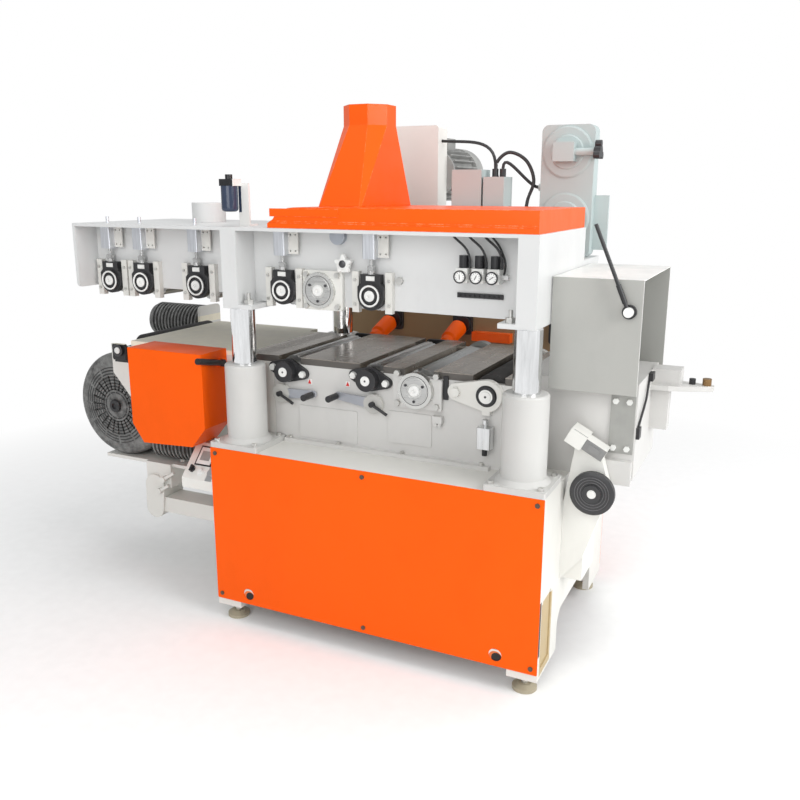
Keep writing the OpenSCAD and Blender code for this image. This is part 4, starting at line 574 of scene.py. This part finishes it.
def add_tube(bm, points, r, sides=12, steps=10):
    """A round cable along a smooth line through the given places."""
    line = []
    for k in range(len(points) - 1):
        p0, p1 = Vector(points[max(k - 1, 0)]), Vector(points[k])
        p2, p3 = Vector(points[k + 1]), Vector(points[min(k + 2, len(points) - 1)])
        for s in range(steps):
            t = s / steps
            line.append(0.5 * ((2 * p1) + (p2 - p0) * t + (2 * p0 - 5 * p1 + 4 * p2 - p3) * t * t
                               + (3 * p1 - p0 - 3 * p2 + p3) * t * t * t))
    line.append(Vector(points[-1]))
    rings = []
    up = Vector((0.31, 0.12, 0.94))
    for k, p in enumerate(line):
        along = (line[min(k + 1, len(line) - 1)] - line[max(k - 1, 0)]).normalized()
        u = along.cross(up).normalized()
        w = along.cross(u)
        rings.append([bm.verts.new(at(*(p + (u * math.cos(a) + w * math.sin(a)) * r)))
                      for a in (2 * math.pi * j / sides for j in range(sides))])
    skin(bm, rings)


def lathes(name, places, axis, profile, material, body, steps=40):
    """One piece of turned parts, the same profile at each place."""
    bm = bmesh.new()
    for place in places:
        add_lathe(bm, place, axis, profile, steps)
    put(name, bm, material, body)


def boxes(name, spans, material, body, bevel=0.0):
    """One piece of boxes, each given by its low and high corner."""
    bm = bmesh.new()
    for low, high in spans:
        add_box(bm, low, high)
    put(name, bm, material, body, bevel=bevel)


def cable(name, points, r, body):
    """One black hose or cable through the given places."""
    bm = bmesh.new()
    add_tube(bm, points, r)
    put(name, bm, hose, body, 60)


# ---------------------------------------------------------------- small parts

# White rings and shaft ends of the bearing blocks
for i, x in enumerate(ROLLERS, 1):
    lathes(f"block_ring_{i}", [(x, 132, ROLLER_Z)], FRONT, ring(31, 37.5, 4.2, 1.2), seal,
           f"roller_block_{i}_body")
    lathes(f"shaft_cap_{i}", [(x, 133, ROLLER_Z)], FRONT,
           [(0, 1.2), (5.5, 1.2), (6.5, 6), (16.5, 6.5), (18.5, 5), (19.3, 0), (0, 0)], seal,
           f"feed_roller_{i}_body")

# Gauges of the regulators: black rim, white dial, needle and a ring of marks
MARK_R, MARKS = 13.6, 9
for i, x in enumerate(REGULATORS, 1):
    lathes(f"gauge_rim_{i}", [(x, 106, GAUGE_Z)], FRONT, ring(16.6, 20.8, 5, 1.4), black, "head")
    lathes(f"gauge_dial_{i}", [(x, 104.6, GAUGE_Z)], FRONT, disc(16.8, 1.4, 0.4), dial_white, "head")
    bm = bmesh.new()
    needle = Matrix.Rotation(math.radians(-35 + 30 * i), 3, "Y")
    add_box(bm, (x - 0.9, 101.6, GAUGE_Z - 8), (x + 0.9, 102.6, GAUGE_Z + 8), needle)
    for k in range(MARKS):
        a = math.radians(-130 + 32.5 * k)
        mark = Matrix.Rotation(a, 3, "Y")
        mx, mz = x + MARK_R * math.sin(a), GAUGE_Z + MARK_R * math.cos(a)
        add_box(bm, (mx - 0.5, 102.4, mz - 1.7), (mx + 0.5, 103.3, mz + 1.7), mark)
    put(f"gauge_marks_{i}", bm, black, "head")

# Star knob on the head
bm = bmesh.new()
star(bm, STAR_KNOB, 5, 26, 8, 151, 134)
put("star_knob", bm, seal, "head")
lathes("star_knob_cap", [(STAR_KNOB[0], 134, STAR_KNOB[1])], FRONT,
       [(0, 5), (9, 4.6), (12, 3), (13, 0), (0, 0)], dark_steel, "head")

# Turned caps of both cutterheads: ring grooves, a centre screw and three small screws
SCREW_R = 37
for name, (x, z), y, body in (("upper", UPPER_CUTTER, 144, "head"), ("lower", LOWER_CUTTER, 163, "base")):
    lathes(f"{name}_cap_groove", [(x, y + 0.4, z)], FRONT, ring(50, 52.2, 0.9, 0.3), dark_steel, body)
    lathes(f"{name}_cap_inner", [(x, y + 0.3, z)], FRONT, ring(27, 47, 2.4, 0.8), steel, body)
    spots = [(x + SCREW_R * math.cos(a), y - 1.8, z + SCREW_R * math.sin(a))
             for a in (math.radians(d) for d in (30, 150, 270))]
    lathes(f"{name}_cap_screws", spots, FRONT, socket_screw(5, 3.4), dark_steel, body, 24)
    lathes(f"{name}_cap_centre", [(x, y + 0.3, z)], FRONT,
           [(0, 1.6), (6, 1.6), (7, 6.5), (17, 6.5), (19, 5), (20, 0), (0, 0)], seal, body)

# Cowl of the infeed fan: dark hub with a round recess
lathes("cowl_hub", [(COWL[0], 219.5, COWL[1])], FRONT,
       [(0, 3), (12, 3), (13, 9), (24, 9), (27, 6), (28, 0), (0, 0)], black, "base")

# Round skin of the suction collar
lathes("collar_skin", [(-900, 400, 1502.2)], (0, 0, 1), ring(60.5, 66.5, 76.4, 1.5), head_grey, "head",
       64)

# Bearing of the drum at the infeed end: dark ring and white cap
drum_face = [(DRUM[0], 180.2, DRUM[1])]
lathes("drum_bearing_ring", drum_face, FRONT, ring(15, 25, 4, 1.2), dark_steel, "base")
lathes("drum_bearing_cap", drum_face, FRONT, disc(13.5, 5.5, 1.5), seal, "base")

# Window and second knob on the sloping face of the switch box
tilt = math.atan2(SLOPE_RISE, SLOPE_RUN)
slope = Matrix.Rotation(tilt, 3, "X")


def on_slope(x, v, lift=0.0):
    """A place v millimetres up the sloping face and lift above it."""
    return (x, SLOPE_Y + v * math.cos(tilt) - lift * math.sin(tilt),
            SLOPE_Z + v * math.sin(tilt) + lift * math.cos(tilt))


for name, size, lift, look, slot in (
        ("window_frame", (78, 84, 2.4), 1.2, black, "black_plastic"),
        ("window_field", (66, 72, 1.2), 2.8, seal, "white_paint"),
        ("window_screen", (44, 40, 1.2), 3.8, motor_grey, "grey_paint")):
    bm = bmesh.new()
    place = on_slope(WINDOW_X, WINDOW_V, lift)
    add_box(bm, [p - s / 2 for p, s in zip(place, size)], [p + s / 2 for p, s in zip(place, size)], slope)
    put(name, bm, look, "base", bevel=0.4)
lathes("second_knob", [on_slope(KNOB_X, KNOB_V)], (0, -math.sin(tilt), math.cos(tilt)),
       [(0, 12), (9, 12), (11, 10), (13, 2), (18, 1.5), (18, 0), (0, 0)], seal, "base")

# Turned grooves in the hand wheel's face
for i, (r, y) in enumerate(((38, 192.8), (47, 191.7), (56, 190.6)), 1):
    lathes(f"wheel_groove_{i}", [(HAND_WHEEL[0], y, HAND_WHEEL[1])], FRONT, ring(r - 0.9, r + 0.9, 0.9, 0.3),
           worn_iron, "hand_wheel_body")

# Raised strip on the cover's front
boxes("cover_strip", [((-381, 60.2, 1541), (-112, 62.2, 1568))], gloss_orange_chips_and_highlight, "head", 0.8)

# Red pointers on white bases beside the bed levers
for i, (x, z) in enumerate(((-324, 938), (-163, 945)), 1):
    boxes(f"pointer_base_{i}", [((x - 9, 203, z - 10), (x + 9, 205.2, z + 10))], seal, "base", 0.7)
    bm = bmesh.new()
    tip = [bm.verts.new(at(x + dx, y, z + dz)) for y in (203.2, 200.6) for dx, dz in ((-7, -7), (7, -7), (0, 9))]
    bm.faces.new(tip[:3])
    bm.faces.new(tip[3:])
    for k in range(3):
        n = (k + 1) % 3
        bm.faces.new((tip[k], tip[n], tip[n + 3], tip[k + 3]))
    put(f"pointer_{i}", bm, red, "base", bevel=0.5)

# Fourth hose of the regulators, and the thick cable from the junction box down to the rear deck
cable("return_hose", [(391, 150, 1488), (420, 150, 1452), (438, 150, 1404), (434, 150, 1368)], 3.4, "head")
cable("thick_cable", [(196, 750, 1676), (192, 752, 1730), (236, 765, 1768), (300, 775, 1738), (332, 778, 1665),
                      (312, 772, 1590), (304, 768, 1500), (304, 768, 1387)], 6.5, "head")

# Sensor cable on the end face of the outfeed table, and the boxes at its ends
cable("sensor_cable", [(853, 500, 1012), (856, 455, 990), (857, 420, 950), (856, 350, 905), (853, 318, 872)], 4,
      "base")
boxes("sensor_boxes", [((850.2, 478, 1000), (866, 524, 1028)), ((850.2, 300, 842), (862, 336, 880))], black,
      "base", 1.5)


# ---------------------------------------------------------------- camera

# Solved from the photograph: place in metres, angles in radians, focal length in pixels of a frame FRAME_PX wide
CAMERA_PLACE = (1.5472, -3.0511, 1.6310)
YAW, PITCH, ROLL = -0.4427, 0.2472, 0.0022
FOCAL_PX, FRAME_PX, SENSOR = 834.25, 800, 36.0


def make_camera():
    camera = bpy.data.cameras.new("camera")
    obj = bpy.data.objects.new("camera", camera)
    bpy.context.scene.collection.objects.link(obj)
    forward = Vector((math.sin(YAW) * math.cos(PITCH), math.cos(YAW) * math.cos(PITCH), -math.sin(PITCH)))
    side = Vector((math.cos(YAW), -math.sin(YAW), 0.0))
    up = side.cross(forward)
    right = side * math.cos(ROLL) + up * math.sin(ROLL)
    top = up * math.cos(ROLL) - side * math.sin(ROLL)
    rows = [(*row, place) for row, place in zip(zip(right, top, -forward), CAMERA_PLACE)]
    obj.matrix_world = Matrix((*rows, (0, 0, 0, 1)))
    camera.sensor_width = SENSOR
    camera.lens = FOCAL_PX / FRAME_PX * SENSOR
    camera.clip_start = 0.1
    camera.clip_end = 100.0
    bpy.context.scene.camera = obj


make_camera()


# ---------------------------------------------------------------- light and floor

# Light of the surroundings, and the distances in metres over which the floor turns to plain white
SKY_TINT, SKY_STRENGTH = (0.97, 0.985, 1.0, 1), 0.50
FLOOR_R, FADE_FROM, FADE_TO = 14.0, 1.7, 3.4

# Lamps: name, place and target in metres, size, power
LAMPS = (
    ("key", (4.6, -1.3, 2.9), (0.0, 0.0, 0.9), 2.6, 148),
    ("fill", (0.6, -4.6, 2.8), (-0.2, -0.2, 0.9), 3.0, 85),
    ("rim", (4.4, 3.4, 2.4), (0.0, 0.0, 1.2), 2.6, 55),
    ("top", (0.0, 0.2, 5.0), (0.0, 0.0, 0.9), 4.0, 90),
)


def area(name, place, target, size, power):
    lamp = bpy.data.lights.new(name, "AREA")
    lamp.energy = power
    lamp.size = size
    obj = bpy.data.objects.new(name, lamp)
    bpy.context.scene.collection.objects.link(obj)
    obj.location = place
    obj.rotation_euler = (Vector(target) - Vector(place)).to_track_quat("-Z", "Y").to_euler()


def make_world():
    """Plain white for the camera, and a dimmer, cooler light for everything else."""
    world = bpy.data.worlds.new("studio")
    bpy.context.scene.world = world
    world.use_nodes = True
    tree = world.node_tree
    tree.nodes.clear()
    path = tree.nodes.new("ShaderNodeLightPath")
    seen = tree.nodes.new("ShaderNodeBackground")
    seen.inputs["Color"].default_value = (1, 1, 1, 1)
    seen.inputs["Strength"].default_value = 1.0
    lights = tree.nodes.new("ShaderNodeBackground")
    lights.inputs["Color"].default_value = SKY_TINT
    lights.inputs["Strength"].default_value = SKY_STRENGTH
    either = tree.nodes.new("ShaderNodeMath")
    either.operation = "MAXIMUM"
    tree.links.new(path.outputs["Is Camera Ray"], either.inputs[0])
    tree.links.new(path.outputs["Is Transmission Ray"], either.inputs[1])
    mix = tree.nodes.new("ShaderNodeMixShader")
    out = tree.nodes.new("ShaderNodeOutputWorld")
    tree.links.new(either.outputs[0], mix.inputs[0])
    tree.links.new(lights.outputs[0], mix.inputs[1])
    tree.links.new(seen.outputs[0], mix.inputs[2])
    tree.links.new(mix.outputs[0], out.inputs["Surface"])


def make_floor():
    """Pale floor that keeps the shadow near the machine and turns to plain white away from it."""
    bm = bmesh.new()
    bmesh.ops.create_circle(bm, cap_ends=True, radius=FLOOR_R, segments=96)
    mesh = bpy.data.meshes.new("floor")
    bm.to_mesh(mesh)
    bm.free()
    obj = bpy.data.objects.new("floor", mesh)
    bpy.context.scene.collection.objects.link(obj)
    t = Tree("pale_floor")
    x, y, _ = t.axes()
    far = t.math("POWER", t.math("ADD", t.math("MULTIPLY", x, x), t.math("MULTIPLY", y, y)), 0.5)
    fade = t.ramp(far, FADE_FROM, FADE_TO)
    path = t.add("LightPath")
    seen = t.math("MAXIMUM", path.outputs["Is Camera Ray"], path.outputs["Is Glossy Ray"])
    grain = t.noise(18.0, 4.0)
    tone = t.mix(t.ramp(grain, 0.3, 0.7), (0.90, 0.90, 0.895), (0.93, 0.93, 0.925))
    matt = t.add("BsdfDiffuse", {"Color": tone})
    glow = t.add("Emission", {"Color": (1, 1, 1, 1), "Strength": 1.0})
    both = t.add("MixShader", {0: t.math("MULTIPLY", fade, seen), 1: matt.outputs[0], 2: glow.outputs[0]})
    t.add("OutputMaterial", {"Surface": both.outputs[0]})
    mesh.materials.append(t.material)


bpy.context.scene.view_settings.view_transform = "Standard"
make_world()
make_floor()
for lamp_values in LAMPS:
    area(*lamp_values)
